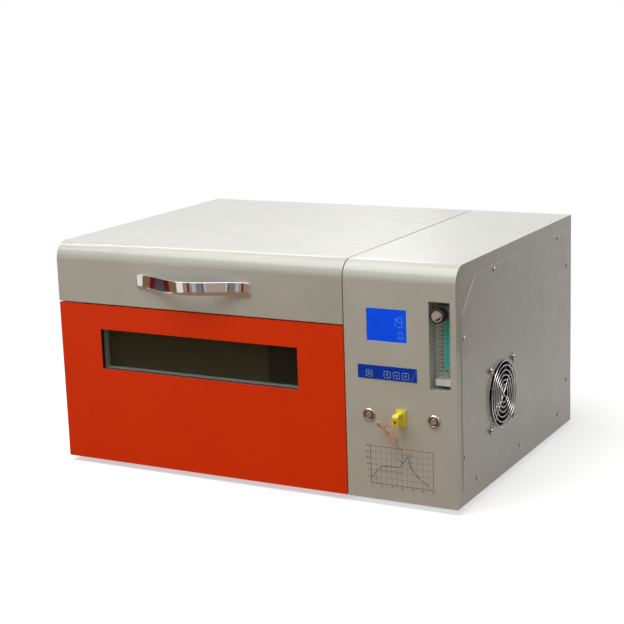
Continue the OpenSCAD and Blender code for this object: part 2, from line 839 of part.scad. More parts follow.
module slide_inner_members() color("#c9cbcc") placed()
    both_slides(plate_y + plate_t, slide_len + chamber_y - plate_y - plate_t - 8)
        channel(2 * (slide_t + slide_gap), 12 - 2 * slide_t,
            slide_h - 8 - 2 * slide_gap, slide_t);

// Rack tooth, in (y, z), pointing down from the pitch line
function rack_tooth(y) = let (half = tooth_share * pitch / 2,
    tip = gear_m * 0.9, root = gear_m * 1.25)
    [[y - half - root * tan(20), root], [y - half + tip * tan(20), -tip],
    [y + half - tip * tan(20), -tip], [y + half + root * tan(20), root]];

module drive_rack() color("#8f9396") placed() {
    first = ceil((plate_y + 6 - pinion_y) / pitch);
    last = floor((rack_back - 4 - pinion_y) / pitch) - 1;
    teeth = [for (i = [first:last], p = rack_tooth((i + 0.5) * pitch)) p];
    top = gear_m * 1.25 + rack_body;
    along_x(rack_x, rack_w) translate([pinion_y, pitch_z])
        polygon(concat([[plate_y + plate_t - pinion_y, top],
            [plate_y + plate_t - pinion_y, gear_m * 1.25]], teeth,
            [[rack_back - pinion_y, gear_m * 1.25],
            [rack_back - pinion_y, top]]));
}

// One pinion tooth, in (y, z), pointing up
function gear_tooth() = let (half = tooth_share * pitch / 2)
    [[-half * 1.5, pinion_r - gear_m * 1.4],
    [-half * 1.4, pinion_r - gear_m * 1.2], [-half, pinion_r],
    [-half * 0.45, pinion_r + gear_m * 0.95],
    [half * 0.45, pinion_r + gear_m * 0.95], [half, pinion_r],
    [half * 1.4, pinion_r - gear_m * 1.2],
    [half * 1.5, pinion_r - gear_m * 1.4]];

module drive_pinion() color("#c2a45a") placed() {
    along_x(rack_x + 0.5, rack_w - 1) translate([pinion_y, pinion_z]) {
        circle(pinion_r - gear_m * 1.2);
        for (i = [0:pinion_teeth - 1]) rotate(i * 360 / pinion_teeth)
            polygon(gear_tooth());
    }
    rod_x(shaft_r, rack_x + 1, rack_x + rack_w + bracket_t + 26,
        pinion_y, pinion_z);
}

module drawer_gearmotor() color("#6f7377") placed()
    difference() {
        union() {
            box([rack_x + rack_w + 3, pinion_y - 25, sheet],
                [rack_x + rack_w + 3 + bracket_t, pinion_y + 25,
                pinion_z + 20]);
            box([rack_x + rack_w + 3, pinion_y - 25, sheet],
                [rack_x + rack_w + 32, pinion_y + 25, sheet + bracket_t]);
            rod_x(motor_r, rack_x + rack_w + 2 + bracket_t,
                rack_x + rack_w + 3 + bracket_t + motor_len,
                pinion_y, pinion_z);
        }
        rod_x(shaft_r + run_fit, rack_x, rack_x + rack_w + bracket_t + 30,
            pinion_y, pinion_z);
    }

// ---------- drawer ----------

module window_opening(y0, y1, lap)
    box([window_x - lap, y0, window_z - lap],
        [window_x + window_w + lap, y1, window_z + window_h + lap]);

module drawer_front() color("#c8401c") placed()
    difference() {
        union() {
            difference() {
                box([0, 0, 0], [oven_w, drawer_fold, front_h]);
                box([sheet, sheet, sheet],
                    [oven_w - sheet, drawer_fold + 1, front_h - sheet]);
            }
            window_opening(sheet - eps, sheet + reveal, sheet);
        }
        window_opening(-1, drawer_fold + 1, 0);
    }

module drawer_carriage() color("#c3c5c4") placed() {
    // inner door with the rebate of the inner pane
    difference() {
        union() {
            box([0, plate_y, 0], [oven_w, plate_y + plate_t, front_h]);
            box([chamber_x, plate_y, chamber_z],
                [chamber_x + chamber_w, door_back, chamber_top - 2]);
        }
        window_opening(plate_y - 1, door_back + 1, 0);
        window_opening(door_back - glass_t - 2, door_back + 1, pane_lap);
    }
    // arms and cross bars that carry the tray
    for (x = [arm_x, oven_w - arm_x - arm_w])
        box([x, door_back, tray_top - 2 * tray_wire - arm_h],
            [x + arm_w, arm_back, tray_top - 2 * tray_wire]);
    for (y = [chamber_y + 30, arm_back - arm_w])
        box([arm_x, y, tray_top - 2 * tray_wire - arm_h],
            [oven_w - arm_x, y + arm_w, tray_top - 2 * tray_wire - arm_h / 2]);
}

module window_glass() color("#4a3a30", 0.6) placed() {
    window_opening(sheet + reveal, sheet + reveal + glass_t, pane_lap);
    window_opening(door_back - glass_t - 2, door_back - 2, pane_lap - 0.5);
}

module pcb_tray() color("#d5d6d4") placed() {
    x0 = arm_x;
    x1 = oven_w - arm_x;
    y0 = chamber_y + 8;
    y1 = arm_back;
    low = tray_top - 2 * tray_wire;
    difference() {
        box([x0, y0, low], [x1, y1, low + tray_wire]);
        box([x0 + 4, y0 + 4, low - 1], [x1 - 4, y1 - 4, low + 5]);
    }
    rods = 12;
    for (i = [0:rods]) {
        x = x0 + 4 + (x1 - x0 - 8) * i / rods;
        box([x - 1, y0, low + tray_wire - eps], [x + 1, y1, tray_top]);
    }
}

// ---------- lid ----------

module lid_shell() color("#d3cfc6") placed()
    difference() {
        along_x(0, oven_w) bent(0, body_d, lid_z, body_h, bend_r);
        along_x(sheet, oven_w - 2 * sheet)
            bent(sheet, body_d - sheet, lid_z - 1, body_h - sheet,
                bend_r - sheet);
        for (s = [-1, 1])
            rod_y(screw_r + slip, oven_w / 2
                + s * (handle_len / 2 - handle_pad / 2), -1, 5,
                lid_z + handle_z);
    }

module lid_handle() color("#e3e4e6") placed() {
    bow = handle_len - 2 * handle_pad + 4;
    arc_r = (pow(bow / 2, 2) + pow(handle_out, 2)) / (2 * handle_out);
    translate([oven_w / 2, 0, lid_z + handle_z - handle_tall / 2])
        linear_extrude(handle_tall) {
            intersection() {
                difference() {
                    translate([0, arc_r - handle_out]) circle(arc_r, $fn = 180);
                    translate([0, arc_r - handle_out])
                        circle(arc_r - handle_t, $fn = 180);
                }
                translate([-bow, -handle_out]) square([2 * bow, handle_out]);
            }
            for (s = [-1, 1])
                translate([s > 0 ? handle_len / 2 - handle_pad
                    : -handle_len / 2, -handle_t])
                    square([handle_pad, handle_t]);
        }
    for (s = [-1, 1]) {
        x = oven_w / 2 + s * (handle_len / 2 - handle_pad / 2);
        rod_y(screw_r, x, -eps, 9, lid_z + handle_z);
        difference() {
            rod_y(4, x, sheet, sheet + 3.2, lid_z + handle_z);
            rod_y(screw_r + run_fit, x, 0, 9, lid_z + handle_z);
        }
    }
}

module lid_liner() color("#c9cac8") placed()
    difference() {
        union() {
            box([sheet, sheet, lid_floor],
                [oven_w - sheet, skirt_y, lid_floor + liner_t]);
            box([chamber_x - 2, lid_pan_y, lid_floor],
                [chamber_x + chamber_w + 2, lid_pan_y + lid_pan_d,
                lid_floor + lid_pan_h]);
        }
        box([chamber_x - 2 + liner_t, lid_pan_y + liner_t, lid_floor - 1],
            [chamber_x + chamber_w + 2 - liner_t,
            lid_pan_y + lid_pan_d - liner_t,
            lid_floor + lid_pan_h - liner_t]);
    }

module lid_insulation() color("#efe9d8") placed()
    box([chamber_x - 2, lid_pan_y, lid_floor + lid_pan_h],
        [chamber_x + chamber_w + 2, lid_pan_y + lid_pan_d,
        lid_floor + lid_pan_h + lid_wool]);

module upper_heaters() placed()
    heater_row(chamber_x - 2 + liner_t, chamber_x + chamber_w + 2 - liner_t,
        lid_pan_y + 40, lid_pan_y + lid_pan_d - 40, top_heater_z);

// ---------- hinges ----------

module hinge_base_leaves() placed()
    for (x0 = hinge_xs) {
        third = hinge_len / 3;
        color("#b9bbbc") difference() {
            union() {
                box([x0, body_d, hinge_z - hinge_rise - hinge_leaf_h],
                    [x0 + hinge_len, body_d + hinge_leaf,
                    hinge_z - knuckle_r - 0.5]);
                for (x = [x0, x0 + 2 * third]) {
                    box([x, body_d, hinge_z - knuckle_r - 1],
                        [x + third, body_d + hinge_leaf, hinge_z]);
                    rod_x(knuckle_r, x, x + third, hinge_y, hinge_z);
                }
            }
            rod_x(hinge_pin_r + run_fit, x0 - 1, x0 + hinge_len + 1,
                hinge_y, hinge_z);
        }
        color("#8d9092") {
            rod_x(hinge_pin_r, x0 - 1, x0 + hinge_len + 1, hinge_y, hinge_z);
            for (x = [x0 - 2 - run_fit, x0 + hinge_len + run_fit])
                rod_x(hinge_pin_r + 1.2, x, x + 2, hinge_y, hinge_z);
        }
    }

module hinge_lid_leaves() color("#b9bbbc") placed()
    for (x0 = hinge_xs) {
        third = hinge_len / 3;
        a = x0 + third + knuckle_gap;
        b = x0 + 2 * third - knuckle_gap;
        difference() {
            union() {
                box([x0, body_d, hinge_z + knuckle_r + 0.5],
                    [x0 + hinge_len, body_d + hinge_leaf,
                    hinge_z + hinge_rise + hinge_leaf_h]);
                box([a, body_d, hinge_z],
                    [b, body_d + hinge_leaf, hinge_z + knuckle_r + 1]);
                rod_x(knuckle_r, a, b, hinge_y, hinge_z);
            }
            // the lid leaf clears the pin and, below the lid, the base
            rod_x(hinge_pin_r + run_fit, x0 - 1, x0 + hinge_len + 1,
                hinge_y, hinge_z);
        }
    }

// ---------- front panel ----------

module lcd_module() color("#1446d2") placed()
    box([lcd_x0 - 4, panel_back, lcd_z - 4],
        [lcd_x0 + lcd_w + 4, board_y, lcd_z + lcd_h + 4]);

module control_board() placed() {
    color("#1f6b3a") box([board_x, board_y, board_z],
        [board_x + board_w, board_y + board_t, board_top]);
    color("#303030") for (x = key_x)
        box([x - 3, board_y - 3.5, key_z - 3], [x + 3, board_y, key_z + 3]);
    color("#c8c8c4")
        for (x = [board_x + 4, board_x + board_w - 4],
            z = [board_z + 4, board_top - 4])
            rod_y(2.5, x, panel_back, board_y, z);
    color("#3a3a3a") box([board_x + 20, board_y + board_t, board_z + 30],
        [board_x + 60, board_y + board_t + 14, board_z + 70]);
}

module keypad_overlay() color("#0b3796") placed()
    difference() {
        box([keypad_x, -keypad_t, keypad_z],
            [keypad_x + keypad_w, 0, keypad_z + keypad_h]);
        for (x = key_x)
            box([x - key_w / 2 - slip, -5, key_z - key_h / 2 - slip],
                [x + key_w / 2 + slip, 5, key_z + key_h / 2 + slip]);
    }

module key(i) color("#123f9f") placed() {
    along_y(-key_proud, key_proud + key_body)
        translate([key_x[i] - key_w / 2, key_z - key_h / 2])
            rounded(key_w, key_h, 1.8);
    rod_y(1.75, key_x[i], key_body - eps, board_y - 3.5 - key_travel - 0.1,
        key_z);
}

module set_key() key(0);
module left_key() key(1);
module down_key() key(2);
module up_key() key(3);

module button_housings() placed()
    for (x = button_x) {
        color("#c9c9c7") difference() {
            union() {
                translate([x, 0, button_z]) rotate([90, 0, 0]) {
                    cylinder(r = bezel_r, h = bezel_out * 0.4);
                    translate([0, 0, bezel_out * 0.4])
                        cylinder(r1 = bezel_r, r2 = bezel_r - 1.6,
                            h = bezel_out * 0.6);
                }
                rod_y(button_body_r, x, -eps, button_len, button_z);
            }
            rod_y(recess_r, x, -bezel_out - 1, 3, button_z);
            rod_y(cap_r - 1 + run_fit, x, 0, button_len - 6, button_z);
            rod_y(cap_r + 0.4, x, 6, button_len - 6, button_z);
        }
        color("#9a9a98") difference() {
            rod_y(button_body_r + 3.5, x, panel_back, panel_back + 3,
                button_z);
            rod_y(button_body_r + run_fit, x, 0, 8, button_z);
        }
    }

module button_cap(x) color("#bdb7b0") placed() {
    rod_y(cap_r, x, -bezel_out + 0.4, 3 - button_travel - 0.2, button_z);
    rod_y(cap_r - 1, x, 0, 10, button_z);
    rod_y(cap_r, x, 7, 10, button_z);
}

module drawer_button() button_cap(button_x[0]);
module nitrogen_button() button_cap(button_x[1]);

module thermocouple_socket() color("#e8cf16") placed()
    difference() {
        union() {
            box([tc_x - tc_flange_w / 2, -tc_flange_t, tc_z - tc_flange_h / 2],
                [tc_x + tc_flange_w / 2, 0, tc_z + tc_flange_h / 2]);
            box([tc_x - tc_body_w / 2, -eps, tc_z - tc_body_h / 2],
                [tc_x + tc_body_w / 2, tc_body_len, tc_z + tc_body_h / 2]);
        }
        blades(blade_fit, 1);
    }

// The plug's two flat blades, or with a fit their slots
module blades(fit, extra)
    for (i = [0, 1]) {
        z = tc_z + (i ? -blade_z : blade_z);
        box([tc_x - blade_t / 2 - fit, -tc_flange_t - extra,
            z - blade_w[i] / 2 - fit],
            [tc_x + blade_t / 2 + fit, -tc_flange_t + blade_len + fit,
            z + blade_w[i] / 2 + fit]);
    }

module thermocouple_plug() placed() {
    z0 = tc_z - tc_plug_h / 2;
    z1 = tc_z + tc_plug_h / 2;
    color("#ecd21a") difference() {
        along_x(tc_x - tc_plug_w / 2, tc_plug_w)
            polygon([[-tc_flange_t, z0], [-tc_flange_t, z1],
                [tc_front + 4, z1], [tc_front, z1 - 2.6],
                [tc_front, z0 + 2.6], [tc_front + 4, z0]]);
        for (p = [[tc_front + 6, z1 - 3.2], [tc_front + 11, z1 - 5],
            [tc_front + 6, z0 + 3.2]])
            rod_x(0.9, tc_x + tc_plug_w / 2 - 1.5, tc_x + tc_plug_w / 2 + 1,
                p[0], p[1]);
    }
    color("#c9c9c5") blades(0, 0);
    color("#7a1d18") rod_y(grommet_r, tc_x, tc_front - grommet_out,
        tc_front, tc_z);
}

// ---------- thermocouple lead ----------

function unit(v) = v / norm(v);

// Points every third of a stretch on a smooth curve through the route
function smooth(p) = [for (i = [0:len(p) - 2], t = [0, 1 / 3, 2 / 3])
    let (a = p[max(i - 1, 0)], b = p[i], c = p[i + 1],
        d = p[min(i + 2, len(p) - 1)])
    b + t * (c - a) / 2 + t * t * (a - 2.5 * b + 2 * c - d / 2)
        + t * t * t * (1.5 * b - a / 2 - 1.5 * c + d / 2), p[len(p) - 1]];

// Tube of eight sides along a route
module tube(route, d) {
    n = len(route);
    dirs = [for (i = [0:n - 1])
        unit(route[min(i + 1, n - 1)] - route[max(i - 1, 0)])];
    rings = [for (i = [0:n - 1])
        let (u = unit(cross(dirs[i], [0.2, 0.1, 1])),
            v = cross(u, dirs[i]))
        for (k = [0:7]) route[i] + d / 2 * (cos(45 * k) * u
            + sin(45 * k) * v)];
    sides = [for (i = [0:n - 2], k = [0:7])
        [i * 8 + k, i * 8 + (k + 1) % 8, (i + 1) * 8 + (k + 1) % 8,
        (i + 1) * 8 + k]];
    polyhedron(rings, concat(sides, [[for (k = [7:-1:0]) k],
        [for (k = [0:7]) (n - 1) * 8 + k]]));
}

module thermocouple_lead() color("#e3b89c") placed()
    tube(smooth(lead_route), cord_d);

module thermocouple_tail() color("#e3b89c") placed()
    tube(smooth(tail_route), cord_d);

// Outer shape of the lead's figure-of-eight hank, bound at its waist
module thermocouple_hank() color("#d98a70") placed()
    translate([hank_at[0], hank_at[1] + hank_t / 2, hank_at[2]])
        rotate([90, 0, 0]) linear_extrude(hank_t) rotate(hank_turn) {
            for (s = [7.5, 17]) translate([s, 0]) circle(5.6);
            translate([7.5, -5.6]) square([9.5, 11.2]);
            for (s = [-5.5, -10.5]) translate([s, 0]) circle(4.2);
            translate([-10.5, -4.2]) square([5, 8.4]);
            translate([-5.5, -1.5]) square([13, 3]);
        }

// ---------- flowmeter ----------

module flowmeter_pocket() color("#8c918b") placed()
    difference() {
        union() {
            box([pocket_x0 - 4, panel_back, pocket_z - 4],
                [pocket_x0 + pocket_w + 4, panel_back + pocket_t,
                pocket_z + pocket_h + 4]);
            box([pocket_x0 - pocket_t, panel_back, pocket_z - pocket_t],
                [pocket_x0 + pocket_w + pocket_t, pocket_back + pocket_t,
                pocket_z + pocket_h + pocket_t]);
        }
        box([pocket_x0, panel_back - 1, pocket_z],
            [pocket_x0 + pocket_w, pocket_back, pocket_z + pocket_h]);
        for (z = [meter_z - 3, head_z + 12])
            rod_y(3.2, tube_x, pocket_back - 1, pocket_back + 5, z);
    }

module flowmeter_block() color("#dfe9e6", 0.5) placed()
    difference() {
        box([meter_x, meter_y, meter_z],
            [meter_x + meter_w, pocket_back, head_z]);
        rod_z(float_r + 0.3, tube_x, tube_y, float_z - float_r - 0.2,
            head_z + 1);
    }

module flowmeter_fittings() color("#b8bab8") placed() {
    difference() {
        box([meter_x, meter_y, head_z],
            [meter_x + meter_w, pocket_back, head_z + meter_head]);
        rod_y(knob_stem + run_fit, knob_x, meter_y - 1, meter_y + 9, knob_z);
    }
    box([meter_x, meter_y - 1.5, meter_z - meter_foot],
        [meter_x + meter_w, pocket_back, meter_z]);
    for (z = [meter_z - 3, head_z + 12])
        rod_y(3, tube_x, pocket_back - eps, pocket_back + 14, z);
}

module flowmeter_knob() placed() {
    color("#1d1c1e") difference() {
        rod_y(knob_r, knob_x, knob_front, knob_front + knob_len, knob_z);
        rod_y(knob_r - 1.8, knob_x, knob_front - 1, knob_front + 0.8, knob_z);
        for (a = [0:20:340])
            translate([knob_x, 0, knob_z]) rotate([0, a, 0])
                rod_y(0.7, knob_r + 0.1, knob_front + 3,
                    knob_front + knob_len + 1, 0);
    }
    color("#c9aea6") difference() {
        rod_y(knob_r - 2, knob_x, knob_front + 0.2, knob_front + 0.8, knob_z);
        box([knob_x - 0.6, knob_front - 1, knob_z - knob_r + 3.2],
            [knob_x + 0.6, knob_front + 0.5, knob_z - 2.4]);
    }
    color("#8d8d8c") rod_y(knob_stem, knob_x, knob_front + knob_len,
        meter_y + 8.5, knob_z);
}

module flowmeter_float() color("#141414") placed()
    translate([tube_x, tube_y, float_z]) sphere(float_r);

// ---------- electrics and gas ----------

module solenoid_valve() placed() {
    y1 = body_d - gas_tail;
    half = valve_body / 2;
    color("#b99a4a") box([gas_x - half, y1 - valve_depth, gas_z - half],
        [gas_x + half, y1, gas_z + half]);
    color("#2b2b2d") box([gas_x - coil_w / 2, y1 - valve_depth + 1,
        gas_z + half], [gas_x + coil_w / 2, y1 - 3, gas_z + half + coil_h]);
    color("#a9aaa8") {
        box([gas_x - half, y1 - valve_depth + 2, sheet],
            [gas_x - half + valve_plate, y1 - 4, gas_z - half]);
        box([gas_x - half, y1 - valve_depth + 2, sheet],
            [gas_x + half - 4, y1 - 4, sheet + valve_plate]);
    }
}

module nitrogen_inlet() placed() {
    color("#c9b57a") difference() {
        union() {
            rod_y(9, gas_x, body_d, body_d + 4, gas_z);
            rod_y(7.5, gas_x, body_d, body_d + gas_out, gas_z);
            rod_y(gas_thread, gas_x, body_d - gas_tail, body_d + eps, gas_z);
        }
        rod_y(tube_r, gas_x, body_d + gas_out - tube_depth,
            body_d + gas_out + 1, gas_z);
        rod_y(2.5, gas_x, body_d - gas_tail - 1, body_d + gas_out, gas_z);
    }
    color("#a98f4e") difference() {
        rod_y(10, gas_x, body_d - sheet - 4, body_d - sheet, gas_z);
        rod_y(gas_thread + run_fit, gas_x, body_d - sheet - 5, body_d,
            gas_z);
    }
}

module relay_bank() placed() {
    relay_y = sink_y + (sink_size[1] - relay_size[1]) / 2 - 1;
    relay_z = sheet + sink_size[2];
    color("#aeb1b3") difference() {
        translate([bay_x, sink_y, sheet]) cube(sink_size);
        for (i = [0:sink_fins - 1])
            translate([bay_x + fin_floor + fin_pitch * i, sink_y - 1,
                sheet + fin_floor])
                cube([fin_gap, sink_size[1] + 2, fin_h]);
    }
    color("#e4e2dc") for (i = [0, 1])
        translate([bay_x + fin_floor + relay_pitch * i, relay_y,
            relay_z + run_fit])
            cube(relay_size - [0, 0, run_fit]);
}

module power_supply() color("#b3b5b4") placed()
    translate([bay_x, supply_y, sheet]) difference() {
        cube(supply_size);
        translate([sheet, sheet, sheet])
            cube(supply_size - 2 * [sheet, sheet, sheet]);
        for (i = [0:supply_slots - 1])
            translate([16 + 7 * i, 20, supply_size[2] - 8])
                cube([3, supply_size[1] - 39, 10]);
    }

module power_inlet() placed() {
    color("#1b1b1c") difference() {
        union() {
            along_y(body_d, 3)
                translate([inlet_x - 24, inlet_z - 34]) rounded(48, 68, 4);
            box([inlet_x - 14, body_d - 28, inlet_z - 30],
                [inlet_x + 14, body_d + eps, inlet_z + 30]);
        }
        box([inlet_x - 12, body_d - 13, socket_z - 8],
            [inlet_x + 12, body_d + 5, socket_z + 8]);
        rod_x(rocker_r + 0.4, inlet_x - 7, inlet_x + 7, body_d, rocker_z);
        box([inlet_x - 7, body_d - eps, rocker_z - rocker_r - 0.4],
            [inlet_x + 7, body_d + 5, rocker_z + rocker_r + 0.4]);
        rod_x(1.5 + run_fit, inlet_x - 8.6, inlet_x + 8.6, body_d, rocker_z);
    }
    color("#c2b280") for (s = [-7, 0, 7])
        box([inlet_x + s - 2, body_d - 13 - eps, socket_z - 1
            + (s == 0 ? 3 : 0)], [inlet_x + s + 2, body_d + 1, socket_z + 1
            + (s == 0 ? 3 : 0)]);
}

module mains_rocker() color("#a8201a") placed() {
    along_x(inlet_x - 6.6, 13.2) translate([body_d, rocker_z])
        intersection() {
            circle(rocker_r);
            polygon([[-12, -12], [4.6, -12], [4.6, -7.4], [1.4, 0],
                [0.6, 9], [0.6, 12], [-12, 12]]);
        }
    rod_x(1.5, inlet_x - 8.4, inlet_x + 8.4, body_d, rocker_z);
}

module exhaust_spigot() color("#c4c6c5") placed()
    difference() {
        union() {
            rod_y(spigot_r, spigot_x, chamber_back, reach_back, spigot_z);
            rod_y(spigot_r + spigot_flange, spigot_x, body_d, body_d + 2,
                spigot_z);
        }
        rod_y(spigot_r - spigot_t, spigot_x, chamber_back - 1,
            reach_back + 1, spigot_z);
    }

chassis_base();
rubber_feet();
cabinet_wrap();
control_housing();
side_cover();
side_screws();
fan_guard();
side_fan_frame();
side_fan_rotor();
chamber_frame();
chamber_liner();
chamber_insulation();
lower_heaters();
chamber_seals();
convection_motor();
convection_impeller();
slide_outer_members();
slide_middle_members();
slide_inner_members();
drawer_gearmotor();
drive_pinion();
drive_rack();
drawer_front();
drawer_carriage();
window_glass();
pcb_tray();
lid_shell();
lid_handle();
lid_liner();
lid_insulation();
upper_heaters();
hinge_base_leaves();
hinge_lid_leaves();
lcd_module();
control_board();
keypad_overlay();
set_key();
left_key();
down_key();
up_key();
button_housings();
drawer_button();
nitrogen_button();
thermocouple_socket();
thermocouple_plug();
thermocouple_lead();
thermocouple_hank();
thermocouple_tail();
flowmeter_pocket();
flowmeter_block();
flowmeter_fittings();
flowmeter_knob();
flowmeter_float();
solenoid_valve();
nitrogen_inlet();
relay_bank();
power_supply();
power_inlet();
exhaust_spigot();
mains_rocker();
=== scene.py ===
# Bench-top reflow oven: its looks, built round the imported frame. Metres, +Z up, front towards -Y.
import json
import math
import bmesh
import bpy
import numpy as np
from mathutils import Matrix, Vector


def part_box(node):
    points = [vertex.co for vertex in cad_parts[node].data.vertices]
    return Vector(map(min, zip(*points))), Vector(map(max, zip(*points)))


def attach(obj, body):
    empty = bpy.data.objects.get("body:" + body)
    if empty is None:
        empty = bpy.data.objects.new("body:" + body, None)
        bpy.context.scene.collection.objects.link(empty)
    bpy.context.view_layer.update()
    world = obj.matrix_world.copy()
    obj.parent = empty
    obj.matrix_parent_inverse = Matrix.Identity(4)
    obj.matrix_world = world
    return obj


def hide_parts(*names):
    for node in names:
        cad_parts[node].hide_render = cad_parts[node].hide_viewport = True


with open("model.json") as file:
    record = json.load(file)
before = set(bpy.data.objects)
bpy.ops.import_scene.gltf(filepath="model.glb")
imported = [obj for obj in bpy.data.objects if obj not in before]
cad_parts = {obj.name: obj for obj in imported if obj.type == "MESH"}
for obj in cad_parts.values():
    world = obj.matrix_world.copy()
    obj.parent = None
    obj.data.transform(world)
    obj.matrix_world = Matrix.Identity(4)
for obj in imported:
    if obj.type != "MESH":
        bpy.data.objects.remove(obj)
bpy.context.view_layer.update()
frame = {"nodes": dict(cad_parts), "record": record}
nodes = frame["nodes"]
slotOf = {part["node"]: part["material_slot"] for part in frame["record"]["subparts"]}
bodyOf = {node: body for body, members in frame["record"]["behaviour"]["bodies"].items()
          for node in members}

# the cabinet's front left lower corner, from which the pieces are placed in millimetres
corner = np.array([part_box("lid_shell")[0].x, *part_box("control_housing")[0].yz])


def place(points):
    # millimetres from the cabinet's corner, to metres in the frame
    return corner + np.asarray(points, float) / 1000


# camera
cameraView = {
    "place": (1335.2, -1705.1, 670.2),
    "forward": (-0.46592, 0.85846, -0.21441),
    "up": (-0.07298, 0.20421, 0.97620),
    "lens": 87.98,
    "sensor": 36,
}


def makeCamera():
    data = bpy.data.cameras.new("camera")
    data.lens = cameraView["lens"]
    data.sensor_width = cameraView["sensor"]
    data.clip_end = 50
    camera = bpy.data.objects.new("camera", data)
    bpy.context.collection.objects.link(camera)
    forward = Vector(cameraView["forward"]).normalized()
    right = forward.cross(Vector(cameraView["up"])).normalized()
    turn = Matrix((right, right.cross(forward), -forward)).transposed().to_4x4()
    camera.matrix_world = Matrix.Translation(place(cameraView["place"])) @ turn
    bpy.context.scene.camera = camera


makeCamera()
print("camera placed")


# surfaces: points in millimetres from the corner, and their faces
def gridFaces(rows, columns, closeRows=False, closeColumns=False):
    # quads between the neighbours of a grid; a closed direction joins its last line to its first
    r = np.arange(rows if closeRows else rows - 1)[:, None]
    c = np.arange(columns if closeColumns else columns - 1)[None, :]
    nextR, nextC = (r + 1) % rows, (c + 1) % columns
    quads = [r * columns + c, r * columns + nextC, nextR * columns + nextC, nextR * columns + c]
    return np.stack(np.broadcast_arrays(*quads), -1).reshape(-1, 4).tolist()


def carried(rings, closed=False):
    # a closed profile carried along a path: rings is path x profile x 3, with flat ends if open
    rows, columns = rings.shape[:2]
    faces = gridFaces(rows, columns, closed, True)
    if not closed:
        faces += [list(range(columns))[::-1], list(range((rows - 1) * columns, rows * columns))]
    return rings.reshape(-1, 3), faces


def unit(v):
    return v / np.linalg.norm(v, axis=-1, keepdims=True)


def wire(path, radius, sides=12, closed=False, reference=(0.31, 0.2, 0.93)):
    # tube: centre + radius * (cos a * side + sin a * lift), square to the path's own direction
    path = np.asarray(path, float)
    step = np.roll(path, -1, 0) - np.roll(path, 1, 0)
    if not closed:
        step[0], step[-1] = path[1] - path[0], path[-1] - path[-2]
    side = unit(np.cross(step, reference))
    lift = unit(np.cross(side, step))
    angle = np.arange(sides) * 2 * math.pi / sides
    ring = np.cos(angle)[:, None] * side[:, None] + np.sin(angle)[:, None] * lift[:, None]
    return carried(path[:, None] + radius * ring, closed)


def turned(profile, centre, axis="y", sides=48, wave=None, closed=False):
    # lathe: (radius, height) pairs turned about an axis; wave scales the radius round the turn
    profile = np.asarray(profile, float)
    angle = np.arange(sides) * 2 * math.pi / sides
    r = profile[:, 0, None] * (np.ones(sides) if wave is None else wave(angle))
    h = np.broadcast_to(profile[:, 1, None], r.shape)
    a, b = r * np.cos(angle), r * np.sin(angle)
    rings = {"y": np.stack([a, h, b], -1), "x": np.stack([h, a, b], -1)}[axis]
    return carried(rings + np.asarray(centre, float), closed)


def roundedSection(halfA, halfB, radius, steps=5):
    # rounded rectangle: corner centres at (+-(halfA - radius), +-(halfB - radius)) plus four arcs
    quarter = np.linspace(0, math.pi / 2, steps)
    angle = (quarter + np.arange(4)[:, None] * math.pi / 2).ravel()
    signA = np.repeat([1, -1, -1, 1], steps)
    signB = np.repeat([1, 1, -1, -1], steps)
    a = signA * (np.asarray(halfA)[..., None] - radius) + radius * np.cos(angle)
    b = signB * (np.asarray(halfB)[..., None] - radius) + radius * np.sin(angle)
    return a, b


def printed(line, width, face, thickness=0.05, closed=False):
    # line of print on a face that looks towards -Y: a flat bar carried along (x, z) points
    line = np.asarray(line, float)
    step = np.roll(line, -1, 0) - np.roll(line, 1, 0)
    if not closed:
        step[0], step[-1] = line[1] - line[0], line[-1] - line[-2]
    across = unit(np.stack([-step[:, 1], step[:, 0]], -1)) * width / 2
    rings = np.zeros((len(line), 4, 3))
    front = face - thickness
    for i, (side, y) in enumerate([(-1, face), (1, face), (1, front), (-1, front)]):
        rings[:, i, [0, 2]] = line + side * across
        rings[:, i, 1] = y
    return carried(rings, closed)


def makePiece(name, surfaces, materials, body, replaced=(), smooth=True, indices=None):
    # joins surfaces, given as (points in millimetres, faces), into one closed piece of the object
    mesh = bpy.data.meshes.new(name)
    points, faces, owner, start = [], [], [], 0
    for number, (part, polygons) in enumerate(surfaces):
        points.append(np.asarray(part, float).reshape(-1, 3))
        faces += [[start + k for k in polygon] for polygon in polygons]
        owner += [indices[number] if indices else 0] * len(polygons)
        start += len(points[-1])
    mesh.from_pydata(place(np.concatenate(points)).tolist(), [], faces)
    mesh.polygons.foreach_set("material_index", owner)
    work = bmesh.new()
    work.from_mesh(mesh)
    bmesh.ops.remove_doubles(work, verts=work.verts, dist=1e-6)
    bmesh.ops.recalc_face_normals(work, faces=work.faces)
    work.to_mesh(mesh)
    work.free()
    mesh.polygons.foreach_set("use_smooth", [smooth] * len(mesh.polygons))
    register(name, mesh, materials, body, replaced)


def register(name, mesh, materials, body, replaced=()):
    piece = bpy.data.objects.new(name, mesh)
    bpy.context.collection.objects.link(piece)
    mesh.materials.clear()
    for material in materials if isinstance(materials, list) else [materials]:
        mesh.materials.append(material)
    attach(piece, body)
    if replaced:
        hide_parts(*replaced)
    return piece


def addBevel(piece, width, segments):
    # rounds the sharp edges and keeps the flat faces flat
    bevel = piece.modifiers.new("edges", "BEVEL")
    bevel.width = width / 1000
    bevel.segments = segments
    bevel.limit_method = "ANGLE"
    bevel.angle_limit = math.radians(28)
    normals = piece.modifiers.new("even faces", "WEIGHTED_NORMAL")
    normals.mode = "FACE_AREA"
    normals.weight = 100


